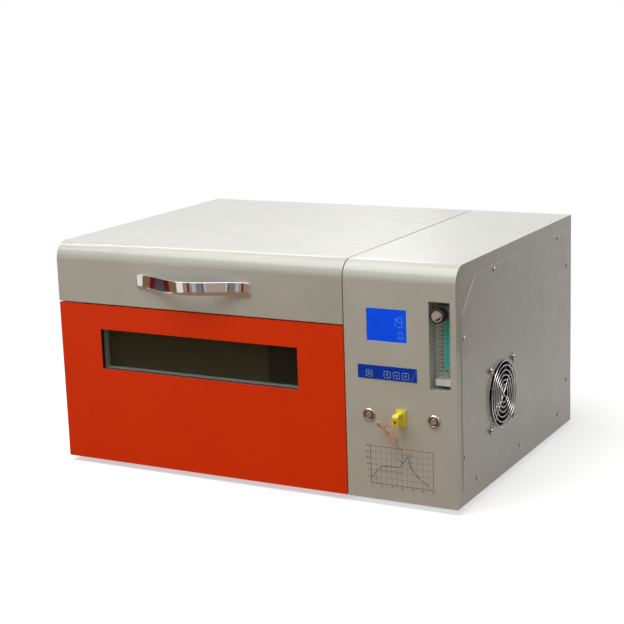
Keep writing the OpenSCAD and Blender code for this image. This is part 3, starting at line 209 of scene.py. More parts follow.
def soften(node, width, materials, segments=2, regions=()):
    # merged copy of a node with its edges rounded, which stands for the node; regions give
    # (material number, test) pairs, where the test takes face centres in millimetres
    mesh = nodes[node].data.copy()
    work = bmesh.new()
    work.from_mesh(mesh)
    bmesh.ops.remove_doubles(work, verts=work.verts, dist=2e-6)
    bmesh.ops.dissolve_limit(work, angle_limit=math.radians(0.4), use_dissolve_boundaries=False,
                             verts=work.verts, edges=work.edges)
    work.to_mesh(mesh)
    work.free()
    piece = register(node + "_finished", mesh, materials, bodyOf[node], [node])
    mesh.polygons.foreach_set("use_smooth", [True] * len(mesh.polygons))
    centres = np.zeros(len(mesh.polygons) * 3)
    mesh.polygons.foreach_get("center", centres)
    centres = (centres.reshape(-1, 3) - corner) * 1000
    chosen = np.zeros(len(centres), int)
    for number, test in regions:
        chosen[test(centres)] = number
    mesh.polygons.foreach_set("material_index", chosen)
    addBevel(piece, width, segments)


# materials: every pattern reads Object coordinates
def srgb(red, green, blue):
    # screen values 0..255 to linear light
    c = np.array([red, green, blue]) / 255
    return tuple(np.where(c <= 0.04045, c / 12.92, ((c + 0.055) / 1.055) ** 2.4).tolist())


def setInputs(material, node, **inputs):
    # named inputs of a node: another node's output is linked, anything else is set
    for key, value in inputs.items():
        socket = node.inputs[key.replace("_", " ")]
        if isinstance(value, bpy.types.NodeSocket):
            material.node_tree.links.new(value, socket)
        else:
            socket.default_value = value
    return node


def newFinish(name, colour, roughness, metallic=0.0, **inputs):
    material = bpy.data.materials.new(name)
    material.use_nodes = True
    shader = material.node_tree.nodes["Principled BSDF"]
    setInputs(material, shader, Base_Color=(*colour, 1), Roughness=roughness, Metallic=metallic,
              **inputs)
    return material, shader


def addNode(material, kind, settings=None, **inputs):
    node = material.node_tree.nodes.new(kind)
    for key, value in (settings or {}).items():
        setattr(node, key, value)
    return setInputs(material, node, **inputs)


def combined(material, operation, first, second=None):
    # one sum on one or two values, each a node's output or a number
    node = addNode(material, "ShaderNodeMath", {"operation": operation})
    for socket, value in zip(node.inputs, (first, second)):
        if isinstance(value, bpy.types.NodeSocket):
            material.node_tree.links.new(value, socket)
        elif value is not None:
            socket.default_value = value
    return node.outputs[0]


def objectPoint(material, stretch=(1, 1, 1)):
    # Object coordinates in millimetres, stretched along the axes
    coordinates = addNode(material, "ShaderNodeTexCoord")
    return addNode(material, "ShaderNodeMapping", Vector=coordinates.outputs["Object"],
                   Scale=tuple(1000 * s for s in stretch)).outputs["Vector"]


def axisOf(material, axis):
    # how far along x, y or z a point lies, in millimetres
    return addNode(material, "ShaderNodeSeparateXYZ", Vector=objectPoint(material)).outputs[axis]


def grain(material, size, stretch=(1, 1, 1), detail=3.0):
    # cloudy noise with features of about this size in millimetres
    return addNode(material, "ShaderNodeTexNoise", Vector=objectPoint(material, stretch),
                   Scale=1 / size, Detail=detail).outputs["Fac"]


def mapped(material, value, low, high, fromLow=0.3, fromHigh=0.7):
    # value carried from one range to another, and held at its ends
    return addNode(material, "ShaderNodeMapRange", Value=value, From_Min=fromLow, From_Max=fromHigh,
                   To_Min=low, To_Max=high).outputs["Result"]


def blendColours(material, factor, first, second):
    node = addNode(material, "ShaderNodeMix", {"data_type": "RGBA"})
    for socket, value in zip((node.inputs[0], *node.inputs[6:8]), (factor, first, second)):
        if isinstance(value, bpy.types.NodeSocket):
            material.node_tree.links.new(value, socket)
        else:
            socket.default_value = (*value, 1) if isinstance(value, tuple) else value
    return node.outputs[2]


def addBump(material, shader, height, strength, depth):
    # depth in millimetres
    bump = addNode(material, "ShaderNodeBump", Height=height, Strength=strength, Distance=depth / 1000)
    setInputs(material, shader, Normal=bump.outputs["Normal"])


def shade(colour, amount):
    return tuple(min(1.0, c * amount) for c in colour)


def powderCoat(name, colour, roughness=0.36, peel=1.3, cloud=60, coat=0.42, specular=0.5):
    # sprayed and baked paint: orange peel, faint clouds, fine speckle
    material, shader = newFinish(name, colour, roughness, Specular_IOR_Level=specular,
                                 Coat_Weight=coat, Coat_Roughness=0.09)
    clouds = blendColours(material, mapped(material, grain(material, cloud), 0, 1),
                          shade(colour, 0.965), shade(colour, 1.03))
    speckle = mapped(material, grain(material, 0.55, detail=1), 0, 1, 0.35, 0.65)
    tone = blendColours(material, mapped(material, speckle, 0, 0.1, 0, 1), clouds, shade(colour, 0.6))
    gloss = mapped(material, grain(material, 25), roughness - 0.04, roughness + 0.05)
    setInputs(material, shader, Base_Color=tone, Roughness=gloss)
    addBump(material, shader, grain(material, peel, detail=2), 0.07, 0.03)
    return material


def brushedMetal(name, colour, roughness, along=0, line=0.25, streak=0.12, depth=0.01):
    # fine lines that run along one axis, in tone, gloss and relief
    material, shader = newFinish(name, colour, roughness, 1.0)
    stretch = [1.0, 1.0, 1.0]
    stretch[along] = 0.015
    lines = grain(material, line, tuple(stretch), 2)
    tone = blendColours(material, mapped(material, lines, 0, 1), shade(colour, 1 - streak),
                        shade(colour, 1 + streak / 2))
    gloss = mapped(material, grain(material, line * 1.7, tuple(stretch), 2), roughness * 0.75,
                   roughness * 1.3)
    setInputs(material, shader, Base_Color=tone, Roughness=gloss)
    addBump(material, shader, lines, 0.25, depth)
    return material


def zincPlate(name, colour, roughness, flake=7.0):
    # spangled zinc: flat flakes that differ a little in tone and gloss
    material, shader = newFinish(name, colour, roughness, 0.9)
    flakes = addNode(material, "ShaderNodeTexVoronoi", Vector=objectPoint(material), Scale=1 / flake)
    share = addNode(material, "ShaderNodeSeparateColor", Color=flakes.outputs["Color"]).outputs[0]
    setInputs(material, shader,
              Base_Color=blendColours(material, share, shade(colour, 0.86), shade(colour, 1.06)),
              Roughness=mapped(material, share, roughness - 0.07, roughness + 0.1, 0, 1))
    addBump(material, shader, grain(material, 1.2), 0.1, 0.02)
    return material


def polished(name, colour, roughness, smudge=18):
    # bright plate with faint wipe marks
    material, shader = newFinish(name, colour, roughness, 1.0)
    marks = grain(material, smudge, (0.35, 1, 1), 4)
    setInputs(material, shader,
              Base_Color=blendColours(material, mapped(material, marks, 0, 1), shade(colour, 0.95), colour),
              Roughness=mapped(material, marks, roughness * 0.7, roughness * 1.8))
    return material


def moulded(name, colour, roughness, pore=0.5, relief=0.2, coat=0.0, specular=0.5):
    # moulded plastic or rubber: an even fine grain with slightly uneven gloss
    material, shader = newFinish(name, colour, roughness, Coat_Weight=coat,
                                 Specular_IOR_Level=specular)
    tone = blendColours(material, mapped(material, grain(material, 9), 0, 1), shade(colour, 0.9),
                        shade(colour, 1.08))
    gloss = mapped(material, grain(material, 4), roughness - 0.05, roughness + 0.06)
    setInputs(material, shader, Base_Color=tone, Roughness=gloss)
    addBump(material, shader, grain(material, pore, detail=2), relief, 0.04)
    return material


def fibreBoard(name, colour, strand=0.6):
    # matted ceramic or glass fibre: short strands in every direction, soft and dull
    material, shader = newFinish(name, colour, 0.95, Sheen_Weight=0.25)
    strands = grain(material, strand, (1, 0.35, 1), 6)
    setInputs(material, shader, Base_Color=blendColours(material, mapped(material, strands, 0, 1),
                                                        shade(colour, 0.78), shade(colour, 1.05)))
    addBump(material, shader, strands, 0.7, 0.5)
    return material


def hazySheet(name, colour, cover, roughness, specular):
    # clear sheet or block that lets most light straight through, with a faint haze on it
    material, shader = newFinish(name, colour, roughness, Specular_IOR_Level=specular)
    haze = mapped(material, grain(material, 30, detail=2), cover * 0.97, cover * 1.03)
    setInputs(material, shader, Alpha=haze)
    return material


def heaterTube(name):
    # ceramic end holders, and between them a milky quartz tube with its coil showing through
    material, shader = newFinish(name, srgb(232, 226, 214), 0.35)
    low, high = [end.x * 1000 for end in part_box("lower_heaters")]
    middle, half = (low + high) / 2, (high - low) / 2
    distance = combined(material, "ABSOLUTE", combined(material, "SUBTRACT", axisOf(material, 0), middle))
    holder = mapped(material, distance, 0, 1, half - 14, half - 13)
    coil = addNode(material, "ShaderNodeTexWave", {"wave_type": "BANDS", "bands_direction": "X"},
                   Vector=objectPoint(material), Scale=0.11, Distortion=0.4)
    tube = blendColours(material, mapped(material, coil.outputs["Fac"], 0, 1, 0.45, 0.6),
                        srgb(226, 205, 180), srgb(150, 96, 62))
    setInputs(material, shader, Base_Color=blendColours(material, holder, tube, srgb(236, 233, 224)),
              Roughness=mapped(material, holder, 0.14, 0.7, 0, 1))
    return material


def glowingScreen(name, colour, strength):
    # backlit display: uneven light behind a faint dot grid
    material, shader = newFinish(name, shade(colour, 0.35), 0.12, Specular_IOR_Level=0.15,
                                 Emission_Strength=strength)
    cells = addNode(material, "ShaderNodeTexVoronoi", {"feature": "F1"}, Vector=objectPoint(material),
                    Scale=1.6, Randomness=0.0)
    grid = blendColours(material, mapped(material, cells.outputs["Distance"], 0, 1, 0, 0.6),
                        shade(colour, 1.05), shade(colour, 0.88))
    uneven = blendColours(material, mapped(material, grain(material, 30), 0, 1), shade(colour, 0.85),
                          shade(colour, 1.1))
    setInputs(material, shader, Emission_Color=blendColours(material, 0.5, grid, uneven))
    return material


def plainInk(name, colour, roughness=0.5):
    # screen-printed ink, a little uneven in thickness
    material, shader = newFinish(name, colour, roughness)
    share = mapped(material, grain(material, 0.9), 0, 1)
    setInputs(material, shader, Base_Color=blendColours(material, share, shade(colour, 0.85),
                                                        shade(colour, 1.2)))
    return material


def leadSheath(name, bareBelow=84.0, sleeveBelow=70.0):
    # two twisted cores, one red-brown and one straw, under a clear skin; bare straw-coloured
    # beyond the hank, and a pale red sleeve on the tip, both by their height
    material, shader = newFinish(name, srgb(196, 120, 98), 0.36)
    twist = addNode(material, "ShaderNodeTexWave", {"wave_type": "BANDS", "bands_direction": "DIAGONAL"},
                    Vector=objectPoint(material), Scale=0.16, Distortion=2.0)
    strands = blendColours(material, mapped(material, twist.outputs["Fac"], 0, 1, 0.3, 0.7),
                           srgb(204, 104, 78), srgb(236, 202, 170))
    height = axisOf(material, 2)
    bareTop, sleeveTop = [corner[2] * 1000 + z for z in (bareBelow, sleeveBelow)]
    bare = mapped(material, height, 1, 0, bareTop - 1.5, bareTop)
    sleeve = mapped(material, height, 1, 0, sleeveTop - 0.5, sleeveTop)
    pale = blendColours(material, bare, strands, srgb(232, 200, 170))
    setInputs(material, shader, Base_Color=blendColours(material, sleeve, pale, srgb(230, 128, 98)))
    return material


finishes = {
    # the housing's grey is the lid's, lightened by a few per cent as painted light
    "housing_paint": powderCoat("housing paint", srgb(206, 205, 195)),
    "lid_paint": powderCoat("lid paint", srgb(199, 198, 188)),
    "drawer_paint": powderCoat("drawer paint", srgb(255, 62, 0), 0.42, coat=0.0, specular=0.15),
    "galvanised": zincPlate("galvanised", srgb(176, 179, 180), 0.42),
    "stainless": brushedMetal("stainless", srgb(190, 189, 185), 0.3),
    "bearing_steel": brushedMetal("bearing steel", srgb(182, 184, 187), 0.26, along=1),
    "machined_steel": brushedMetal("machined steel", srgb(160, 163, 166), 0.33, along=1, line=0.4),
    "chrome": polished("chrome", srgb(232, 232, 234), 0.05),
    "screw_steel": polished("screw steel", srgb(166, 162, 154), 0.24, 5),
    "foot_rubber": moulded("foot rubber", srgb(30, 30, 31), 0.82, 0.8, 0.5),
    "seal_fibre": fibreBoard("seal fibre", srgb(206, 200, 182), 0.4),
    "wool_board": fibreBoard("wool board", srgb(232, 226, 208)),
    "quartz": heaterTube("quartz"),
    "black_plastic": moulded("black plastic", srgb(27, 28, 30), 0.42),
    "motor_casing": powderCoat("motor casing", srgb(70, 72, 75), 0.45, coat=0.0),
    "blower_metal": brushedMetal("blower metal", srgb(186, 189, 192), 0.34, along=2),
    "pinion_brass": brushedMetal("pinion brass", srgb(196, 166, 92), 0.27, along=0),
    "window_tint": hazySheet("window tint", srgb(60, 58, 46), 0.2, 0.04, 0.2),
    "lcd_blue": glowingScreen("lcd blue", srgb(2, 74, 220), 0.84),
    "board_green": moulded("board green", srgb(28, 98, 56), 0.35, 1.4, 0.3, 0.3),
    "overlay_blue": moulded("overlay blue", srgb(12, 66, 196), 0.4, 0.7, 0.12, specular=0.12),
    "button_metal": polished("button metal", srgb(212, 204, 196), 0.13, 4),
    "connector_yellow": moulded("connector yellow", srgb(255, 233, 60), 0.36, 0.8, 0.12),
    "lead_sheath": leadSheath("lead sheath"),
    # the pocket's grey is lightened as painted light against the shade in its recess
    "pocket_paint": powderCoat("pocket paint", srgb(214, 219, 214), 0.5, coat=0.0),
    "meter_acrylic": hazySheet("meter acrylic", srgb(214, 220, 214), 0.13, 0.12, 0.3),
    "meter_metal": brushedMetal("meter metal", srgb(224, 224, 220), 0.42, along=0, line=0.5),
    "float_black": moulded("float black", srgb(14, 14, 15), 0.1, 2.0, 0.05, 0.5),
    "valve_brass": brushedMetal("valve brass", srgb(190, 162, 96), 0.3, along=1),
    "relay_white": moulded("relay white", srgb(226, 225, 219), 0.45),
    "supply_metal": brushedMetal("supply metal", srgb(184, 186, 188), 0.36, along=0),
    "switch_red": moulded("switch red", srgb(176, 26, 18), 0.26, 1.5, 0.05, 0.3),
}
for node, part in nodes.items():
    part.data.materials.clear()
    part.data.materials.append(finishes[slotOf[node]])
print("finishes made:", len(finishes))

# thermocouple lead, as in the part's source: out of the plug, a hank, and its bare tip
lead = {
    "thickness": 1.0,
    "out": [(534.8, -20.8, 114.3), (534.8, -22, 114.3), (534.3, -23.2, 114.1), (532.4, -23.6, 113.2),
            (529, -22.4, 111.4), (525, -20, 108.8), (521, -16.8, 105.6), (518, -13.6, 102.8)],
    "tail": [(532.4, -7.6, 83.4), (535.4, -6.9, 80.6), (539, -6, 76.6), (543, -5, 72.1),
             (547, -4, 67.6), (549.5, -3.4, 64.8)],
    "hankAt": (515.6, 98.6),     # x and z of the hank's waist
    "hankTurn": -39,
    "front": -10.0,              # y of the first turn's start
    "pitch": 1.1,                # each turn lies this far behind the one before
    "turns": 3,
    "wide": (1.0, 0.62, 0.88, 0.5),      # widths of the turns against the first
    "long": (0.93, 1.0, 0.84, 0.97),     # and their lengths
    "waist": 0.85,
    "bigHalf": 5.0,
    "smallHalf": 3.6,
    "bigEnd": 22.0,
    "smallEnd": -14.0,
    "smallNeck": (-0.7, -6.2),   # where the waist widens towards each end
    "bigNeck": (1.0, 8.2),
    "moreSteps": 15,             # points past the last whole turn
}


def smoothCurve(points, between=6):
    # Catmull-Rom curve through the points, each stretch cut into equal shares
    p = np.asarray(points, float)
    p = np.concatenate([[2 * p[0] - p[1]], p, [2 * p[-1] - p[-2]]])
    a, b, c, d = p[:-3, None], p[1:-2, None], p[2:-1, None], p[3:, None]
    t = (np.arange(between) / between)[None, :, None]
    curve = b + t * (c - a) / 2 + t ** 2 * (a - 2.5 * b + 2 * c - d / 2) \
        + t ** 3 * (1.5 * b - a / 2 - 1.5 * c + d / 2)
    return np.concatenate([curve.reshape(-1, p.shape[1]), p[-2:-1]])


def hankTurns():
    # one turn in (s along the hank, t across it): a narrow waist that widens by a cosine into a
    # small and a big half-round end; each turn is a little smaller and lies behind the last
    def side(fromS, toS, half):
        s = np.linspace(fromS, toS, 5)[1:]
        share = (1 - np.cos(math.pi * np.clip((s - fromS) / (toS - fromS), 0, 1))) / 2
        return np.stack([s, lead["waist"] + (half - lead["waist"]) * share], -1)

    big, small = lead["bigHalf"], lead["smallHalf"]
    bigS, smallS = lead["bigEnd"] - big, lead["smallEnd"] + small
    up = side(*lead["smallNeck"], small)
    endSmall = [(smallS - small * math.sin(a), small * math.cos(a))
                for a in np.linspace(0, math.pi, 6)]
    down = side(*lead["bigNeck"], big)
    between = (lead["bigNeck"][1] + bigS) / 2
    endBig = [(bigS + big * math.sin(a), -big * math.cos(a)) for a in np.linspace(0, math.pi, 7)]
    turn = np.concatenate([up, endSmall, up[::-1] * (1, -1), down * (1, -1),
                           [(between, -big)], endBig, [(between, big)], down[::-1]])
    count = len(turn)
    share = np.arange(lead["turns"] * count + lead["moreSteps"]) / count
    turns = np.arange(len(lead["wide"]))
    size = np.stack([np.interp(share, turns, lead["long"]), np.interp(share, turns, lead["wide"])], -1)
    plan = turn[np.arange(len(share)) % count] * size
    angle = math.radians(lead["hankTurn"])
    x = lead["hankAt"][0] + plan[:, 0] * math.cos(angle) - plan[:, 1] * math.sin(angle)
    z = lead["hankAt"][1] + plan[:, 0] * math.sin(angle) + plan[:, 1] * math.cos(angle)
    return np.stack([x, lead["front"] + lead["pitch"] * share, z], -1)


def makeLead():
    # round tube on a smooth curve through the way out, the turns of the hank and the tail
    path = smoothCurve(np.concatenate([lead["out"], hankTurns(), lead["tail"]]))
    length = np.linalg.norm(np.diff(path, axis=0), axis=1).sum() / 1000
    curve = bpy.data.curves.new("thermocouple_wire", "CURVE")
    curve.dimensions = "3D"
    curve.bevel_depth = lead["thickness"] / 2000
    curve.bevel_resolution = 2
    curve.use_fill_caps = True
    spline = curve.splines.new("POLY")
    spline.points.add(len(path) - 1)
    spline.points.foreach_set("co", np.c_[place(path), np.ones(len(path))].ravel())
    curve.materials.append(finishes["lead_sheath"])
    piece = bpy.data.objects.new("thermocouple_wire", curve)
    bpy.context.collection.objects.link(piece)
    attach(piece, "probe")
    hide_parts("thermocouple_lead", "thermocouple_hank", "thermocouple_tail")
    print("lead length", round(length, 4), "points", len(path))
    return piece, length


wirePiece, wireLength = makeLead()

# folded and machined pieces: their own solids with the edges rounded, by so many millimetres
softPieces = {
    "lid_shell": 0.8, "cabinet_wrap": 0.3, "rubber_feet": 0.8, "chassis_base": 0.2,
    "drawer_carriage": 0.25, "flowmeter_block": 0.3, "power_inlet": 0.4, "mains_rocker": 0.4,
    "hinge_base_leaves": 0.25, "hinge_lid_leaves": 0.25, "exhaust_spigot": 0.25,
    "nitrogen_inlet": 0.25, "thermocouple_socket": 0.35, "side_screws": 0.15, "lid_liner": 0.2,
    "pcb_tray": 0.15, "side_fan_frame": 0.4, "side_fan_rotor": 0.3, "set_key": 0.15,
    "left_key": 0.15, "down_key": 0.15, "up_key": 0.15, "keypad_overlay": 0.08,
}
for node, width in softPieces.items():
    soften(node, width, finishes[slotOf[node]])

# the housing's outer side and its cover are a darker copy of the housing's grey, as painted shade, and the
# cover's edge a near-white copy with more coat, as a painted highlight
sidePlate = {"outerX": 611.9, "edgeX": (612.1, 613.1), "colour": (171, 167, 153), "cut": (250, 250, 244)}
paintedShadeSide = powderCoat("side painted shade", srgb(*sidePlate["colour"]))
paintedHighlightEdge = powderCoat("edge painted highlight", srgb(*sidePlate["cut"]), coat=0.6)
soften("control_housing", 1.0, [finishes[slotOf["control_housing"]], paintedShadeSide],
       regions=[(1, lambda c: c[:, 0] > sidePlate["outerX"])])
soften("side_cover", 0.35, [paintedShadeSide, paintedHighlightEdge],
       regions=[(1, lambda c: (c[:, 0] > sidePlate["edgeX"][0]) & (c[:, 0] < sidePlate["edgeX"][1]))])

# the drawer front's opening has its reveal painted near-black, as painted shade, and two panes with a spacer
# frame between them
window = {
    "x": (69.1, 385.1),
    "z": (137.0, 194.0),
    "near": 0.3,                 # how close to the opening's planes the faces with painted shade lie
    "reach": 1.0,
    "innerFrom": 15.0,           # y past which the glass is the inner pane
    "darkFrom": 16.0,            # x in the frame, past which nothing behind that pane is lit
    "spacerY": (8.15, 17.85),
    "spacerWide": 1.2,
}


def inReveal(c):
    # faces on one of the opening's four planes, between its corners
    onPlane, inside = [], True
    for at, (low, high) in ((c[:, 0], window["x"]), (c[:, 2], window["z"])):
        onPlane += [np.abs(at - low) < window["near"], np.abs(at - high) < window["near"]]
        inside = inside & (at > low - window["reach"]) & (at < high + window["reach"])
    return np.any(onPlane, axis=0) & inside


soften("drawer_front", 0.6, [finishes["drawer_paint"], moulded("reveal painted shade", srgb(34, 33, 30), 0.6)],
       regions=[(1, inReveal)])


def innerPane(name, colour, dark, cover):
    # dim glass over the dark oven, with painted light and shade: lighter where the oven behind it is lit,
    # darker in tone past the baffle's edge
    material = hazySheet(name, colour, cover, 0.05, 0.25)
    share = mapped(material, axisOf(material, 0), 0, 1, window["darkFrom"], window["darkFrom"] + 5)
    setInputs(material, material.node_tree.nodes["Principled BSDF"],
              Base_Color=blendColours(material, share, colour, dark))
    return material


soften("window_glass", 0.3, [finishes["window_tint"],
                             innerPane("inner pane", srgb(92, 84, 60), srgb(36, 36, 33), 0.9)],
       regions=[(1, lambda c: c[:, 1] > window["innerFrom"])])


def makeSpacer():
    # zinc-plated frame between the panes: four loops round the opening, inner and outer, joined
    (x0, x1), (z0, z1) = window["x"], window["z"]
    front, back = window["spacerY"]
    wide = window["spacerWide"]
    rings = [[(x0 - grow, y, z0 - grow), (x1 + grow, y, z0 - grow), (x1 + grow, y, z1 + grow),
              (x0 - grow, y, z1 + grow)] for y, grow in ((front, 0), (front, wide), (back, wide), (back, 0))]
    makePiece("window_spacer", [carried(np.array(rings, float).transpose(1, 0, 2), True)],
              moulded("spacer plate", srgb(206, 212, 204), 0.45), "drawer", smooth=False)


makeSpacer()
print("softened pieces:", len(softPieces))

# thermocouple plug: steel blades behind it, a dark grommet in front, and screw holes in its side, their
# insides painted dark as painted shade
plug = {
    "frontY": -20.05,            # the grommet stands out past this, the blades past backY
    "backY": -1.95,
    "holeX": (538.05, 0.78),     # middle and half depth
    "holes": [(-14, 119.3), (-9, 117.5), (-14, 109.3)],
    "holeRadius": 1.0,
}


def inPlugHole(c):
    near = [np.hypot(c[:, 1] - y, c[:, 2] - z) < plug["holeRadius"] for y, z in plug["holes"]]
    return np.any(near, axis=0) & (np.abs(c[:, 0] - plug["holeX"][0]) < plug["holeX"][1])


soften("thermocouple_plug", 0.45,
       [finishes["connector_yellow"], finishes["stainless"],
        moulded("grommet", srgb(104, 24, 20), 0.45), moulded("plug hole painted shade", srgb(52, 40, 8), 0.8)],
       regions=[(1, lambda c: c[:, 1] > plug["backY"]), (2, lambda c: c[:, 1] < plug["frontY"]),
                (3, inPlugHole)])

# flow meter's pocket with its sill a darker copy of the pocket's grey, as painted shade, and the pale foot
# and grey head of the clear block
meterEnds = {"sillTop": 157.5, "headFrom": 200.0}
soften("flowmeter_pocket", 0.15, [finishes["pocket_paint"],
                                  powderCoat("pocket sill painted shade", srgb(166, 170, 164), 0.5, coat=0.0)],
       regions=[(1, lambda c: c[:, 2] < meterEnds["sillTop"])])
soften("flowmeter_fittings", 0.9, [moulded("meter foot", srgb(238, 238, 236), 0.3, coat=0.4),
                                   moulded("meter head", srgb(136, 142, 138), 0.4)], 3,
       regions=[(1, lambda c: c[:, 2] > meterEnds["headFrom"])])

# lid handle: chrome strip, flat at its ends and bowed between
handle = {
    "centre": (227.125, 268.0),  # x and z
    "half": 90.5,
    "tall": 18.0,
    "thick": 2.5,
    "out": 26.0,
    "bowHalf": 86.0,
    "corner": 3.5,
    "edge": 0.5,
    "screwAt": 82.5,
    "stud": [(0, -0.6), (1.9, -0.6), (1.9, 9), (0, 9)],
    "nut": [(2.2, 1.6), (4, 1.6), (4, 4.7), (2.2, 4.7)],
}


def makeHandle():
    # bow: y = flat - (out - thick) * (1 + cos(pi x / bowHalf)) / 2, and flat beyond bowHalf;
    # the section is a rounded rectangle square to it, less tall in the strip's round corners
    half, bend = handle["half"], handle["corner"]
    x = np.concatenate([np.linspace(0, handle["bowHalf"], 90),
                        half - bend + bend * np.sin(np.linspace(0, math.pi / 2, 8))[1:-1],
                        [half - 0.15]])
    wave = np.cos(math.pi * np.minimum(x / handle["bowHalf"], 1))
    y = -handle["thick"] / 2 - (handle["out"] - handle["thick"]) * (1 + wave) / 2
    intoCorner = np.clip(x - half + bend, 0, bend)
    drop = bend - np.sqrt(bend ** 2 - intoCorner ** 2)
    x = np.concatenate([-x[:0:-1], x])
    y = np.concatenate([y[:0:-1], y])
    drop = np.concatenate([drop[:0:-1], drop])
    step = unit(np.gradient(np.stack([x, y], -1), axis=0))
    normal = np.stack([step[:, 1], -step[:, 0]], -1)
    out, up = roundedSection(np.full(len(x), handle["thick"] / 2), handle["tall"] / 2 - drop,
                             handle["edge"], 6)
    rings = np.zeros((len(x), out.shape[1], 3))
    rings[..., 0] = handle["centre"][0] + x[:, None] + out * normal[:, None, 0]
    rings[..., 1] = y[:, None] + out * normal[:, None, 1]
    rings[..., 2] = handle["centre"][1] + up
    surfaces = [carried(rings)]
    for s in (-1, 1):
        at = (handle["centre"][0] + s * handle["screwAt"], 0, handle["centre"][1])
        surfaces.append(turned(handle["stud"], at, sides=20))
        surfaces.append(turned(handle["nut"], at, sides=6, closed=True))
    makePiece("lid_handle_bow", surfaces, finishes["chrome"], "lid", ["lid_handle"])


makeHandle()
print("handle made")

# finger guard of the side fan: bent and welded chrome wire, on four lugs
guard = {
    "centre": (152.0, 116.0),    # y and z
    "plane": 616.8,
    "wire": 0.8,
    "outer": 45.0,
    "step": 6.6,
    "rings": 6,
    "ringSteps": 96,
    "strutPlane": 615.52,
    "struts": [(45, 54.54), (135, 54.54), (-63, 45.0)],     # turn and reach
    "holeOut": 41.25,
    "lug": [(2.2, 613.2), (4.2, 613.2), (4.4, 613.5), (4.4, 615.7), (4.2, 616), (2.2, 616)],
}


def makeGuard():
    # rings: centre + radius * (cos a, sin a); struts: straight lines through the centre
    surfaces = []
    cy, cz = guard["centre"]
    a = np.arange(guard["ringSteps"]) * 2 * math.pi / guard["ringSteps"]
    for number in range(guard["rings"]):
        radius = guard["outer"] - guard["step"] * number
        ring = np.stack([np.full(len(a), guard["plane"]), cy + radius * np.cos(a),
                         cz + radius * np.sin(a)], -1)
        surfaces.append(wire(ring, guard["wire"], closed=True, reference=(1, 0.02, 0.01)))
    for turn, reach in guard["struts"]:
        way = np.array([0, -math.sin(math.radians(turn)), math.cos(math.radians(turn))])
        line = np.array([-1, -0.33, 0.33, 1])[:, None] * reach * way
        surfaces.append(wire(line + [guard["strutPlane"], cy, cz], guard["wire"]))
    for b, c in ((1, 1), (1, -1), (-1, 1), (-1, -1)):
        at = (0, cy + b * guard["holeOut"], cz + c * guard["holeOut"])
        surfaces.append(turned(guard["lug"], at, "x", 32, closed=True))
    makePiece("fan_guard_wires", surfaces, polished("guard chrome", srgb(168, 167, 164), 0.12),
              "cabinet", ["fan_guard"])


makeGuard()
print("guard made")

# push buttons: threaded metal body with its bezel, and the cap that moves in it
buttons = {
    "x": (489.05, 580.55),
    "z": 114.4,
    "bezel": [(5.45, 2.9), (5.45, -1.7), (5.6, -2.1), (6.0, -2.38), (6.6, -2.4), (7.2, -2.1),
              (8.45, -1.1), (8.7, -0.75), (8.75, -0.3), (8.75, 0.0), (8.0, 0.02), (8.0, 22),
              (3.75, 22), (3.75, 16), (4.8, 16), (4.8, 6), (3.75, 6), (3.75, 2.9)],
    "nut": [(8.2, 1.5), (11.3, 1.5), (11.5, 1.8), (11.5, 4.2), (11.3, 4.5), (8.2, 4.5)],
    "cap": [(0, -1.9), (1.6, -1.92), (3.2, -2.0), (3.9, -2.0), (4.25, -1.85), (4.4, -1.5),
            (4.4, 1.3), (3.4, 1.3), (3.4, 7), (4.4, 7), (4.4, 10), (0, 10)],
}
housings = []
for x in buttons["x"]:
    at = (x, 0, buttons["z"])
    housings += [turned(buttons["bezel"], at, sides=64, closed=True),
                 turned(buttons["nut"], at, sides=6, closed=True)]
makePiece("button_bezels", housings, polished("bezel metal", srgb(176, 168, 160), 0.18, 3), "cabinet",
          ["button_housings"])
capMetal = polished("cap metal", srgb(204, 190, 174), 0.36, 3)
for x, node in zip(buttons["x"], ("drawer_button", "nitrogen_button")):
    makePiece(node + "_cap", [turned(buttons["cap"], (x, 0, buttons["z"]))],
              capMetal, bodyOf[node], [node])
print("buttons made")

# display: pale seven-part digits on the lit face, with the unlit parts faintly there
display = {
    "face": 1.5,
    "right": 537.4,              # x of the last digit's right edge
    "lean": 0.05,
    "big": {"low": 233.2, "tall": 12.6, "wide": 6.2, "line": 0.95, "gap": 2.6, "show": "19",
            "places": 5},
    "small": {"low": 218.2, "tall": 9.0, "wide": 5.0, "line": 0.8, "gap": 2.4, "show": "0",
              "places": 6},
    # x, z and width of the points, each this much taller than wide
    "pointTall": 1.3,
    "points": [(540.4, 233.0, 1.0), (540.4, 218.2, 1.0), (489.9, 254.6, 1.3), (498.0, 247.6, 0.7),
               (499.9, 247.4, 0.6), (508.2, 228.6, 0.6), (516.4, 250.6, 0.5)],
}
segmentsOf = {"0": "abcdef", "1": "bc", "2": "abged", "3": "abgcd", "4": "fgbc", "5": "afgcd",
              "6": "afgedc", "7": "abc", "8": "abcdefg", "9": "abcdfg"}


def segmentBars(left, row):
    # the seven bars of one digit as (x, z) lines, each a little short of the corners
    w, h, cut = row["wide"], row["tall"], row["line"] * 0.62
    ends = {"a": ((cut, h), (w - cut, h)), "g": ((cut, h / 2), (w - cut, h / 2)),
            "d": ((cut, 0), (w - cut, 0)), "b": ((w, h - cut), (w, h / 2 + cut)),
            "c": ((w, h / 2 - cut), (w, cut)), "f": ((0, h - cut), (0, h / 2 + cut)),
            "e": ((0, h / 2 - cut), (0, cut))}
    return {key: [(left + x + display["lean"] * z, row["low"] + z) for x, z in line]
            for key, line in ends.items()}


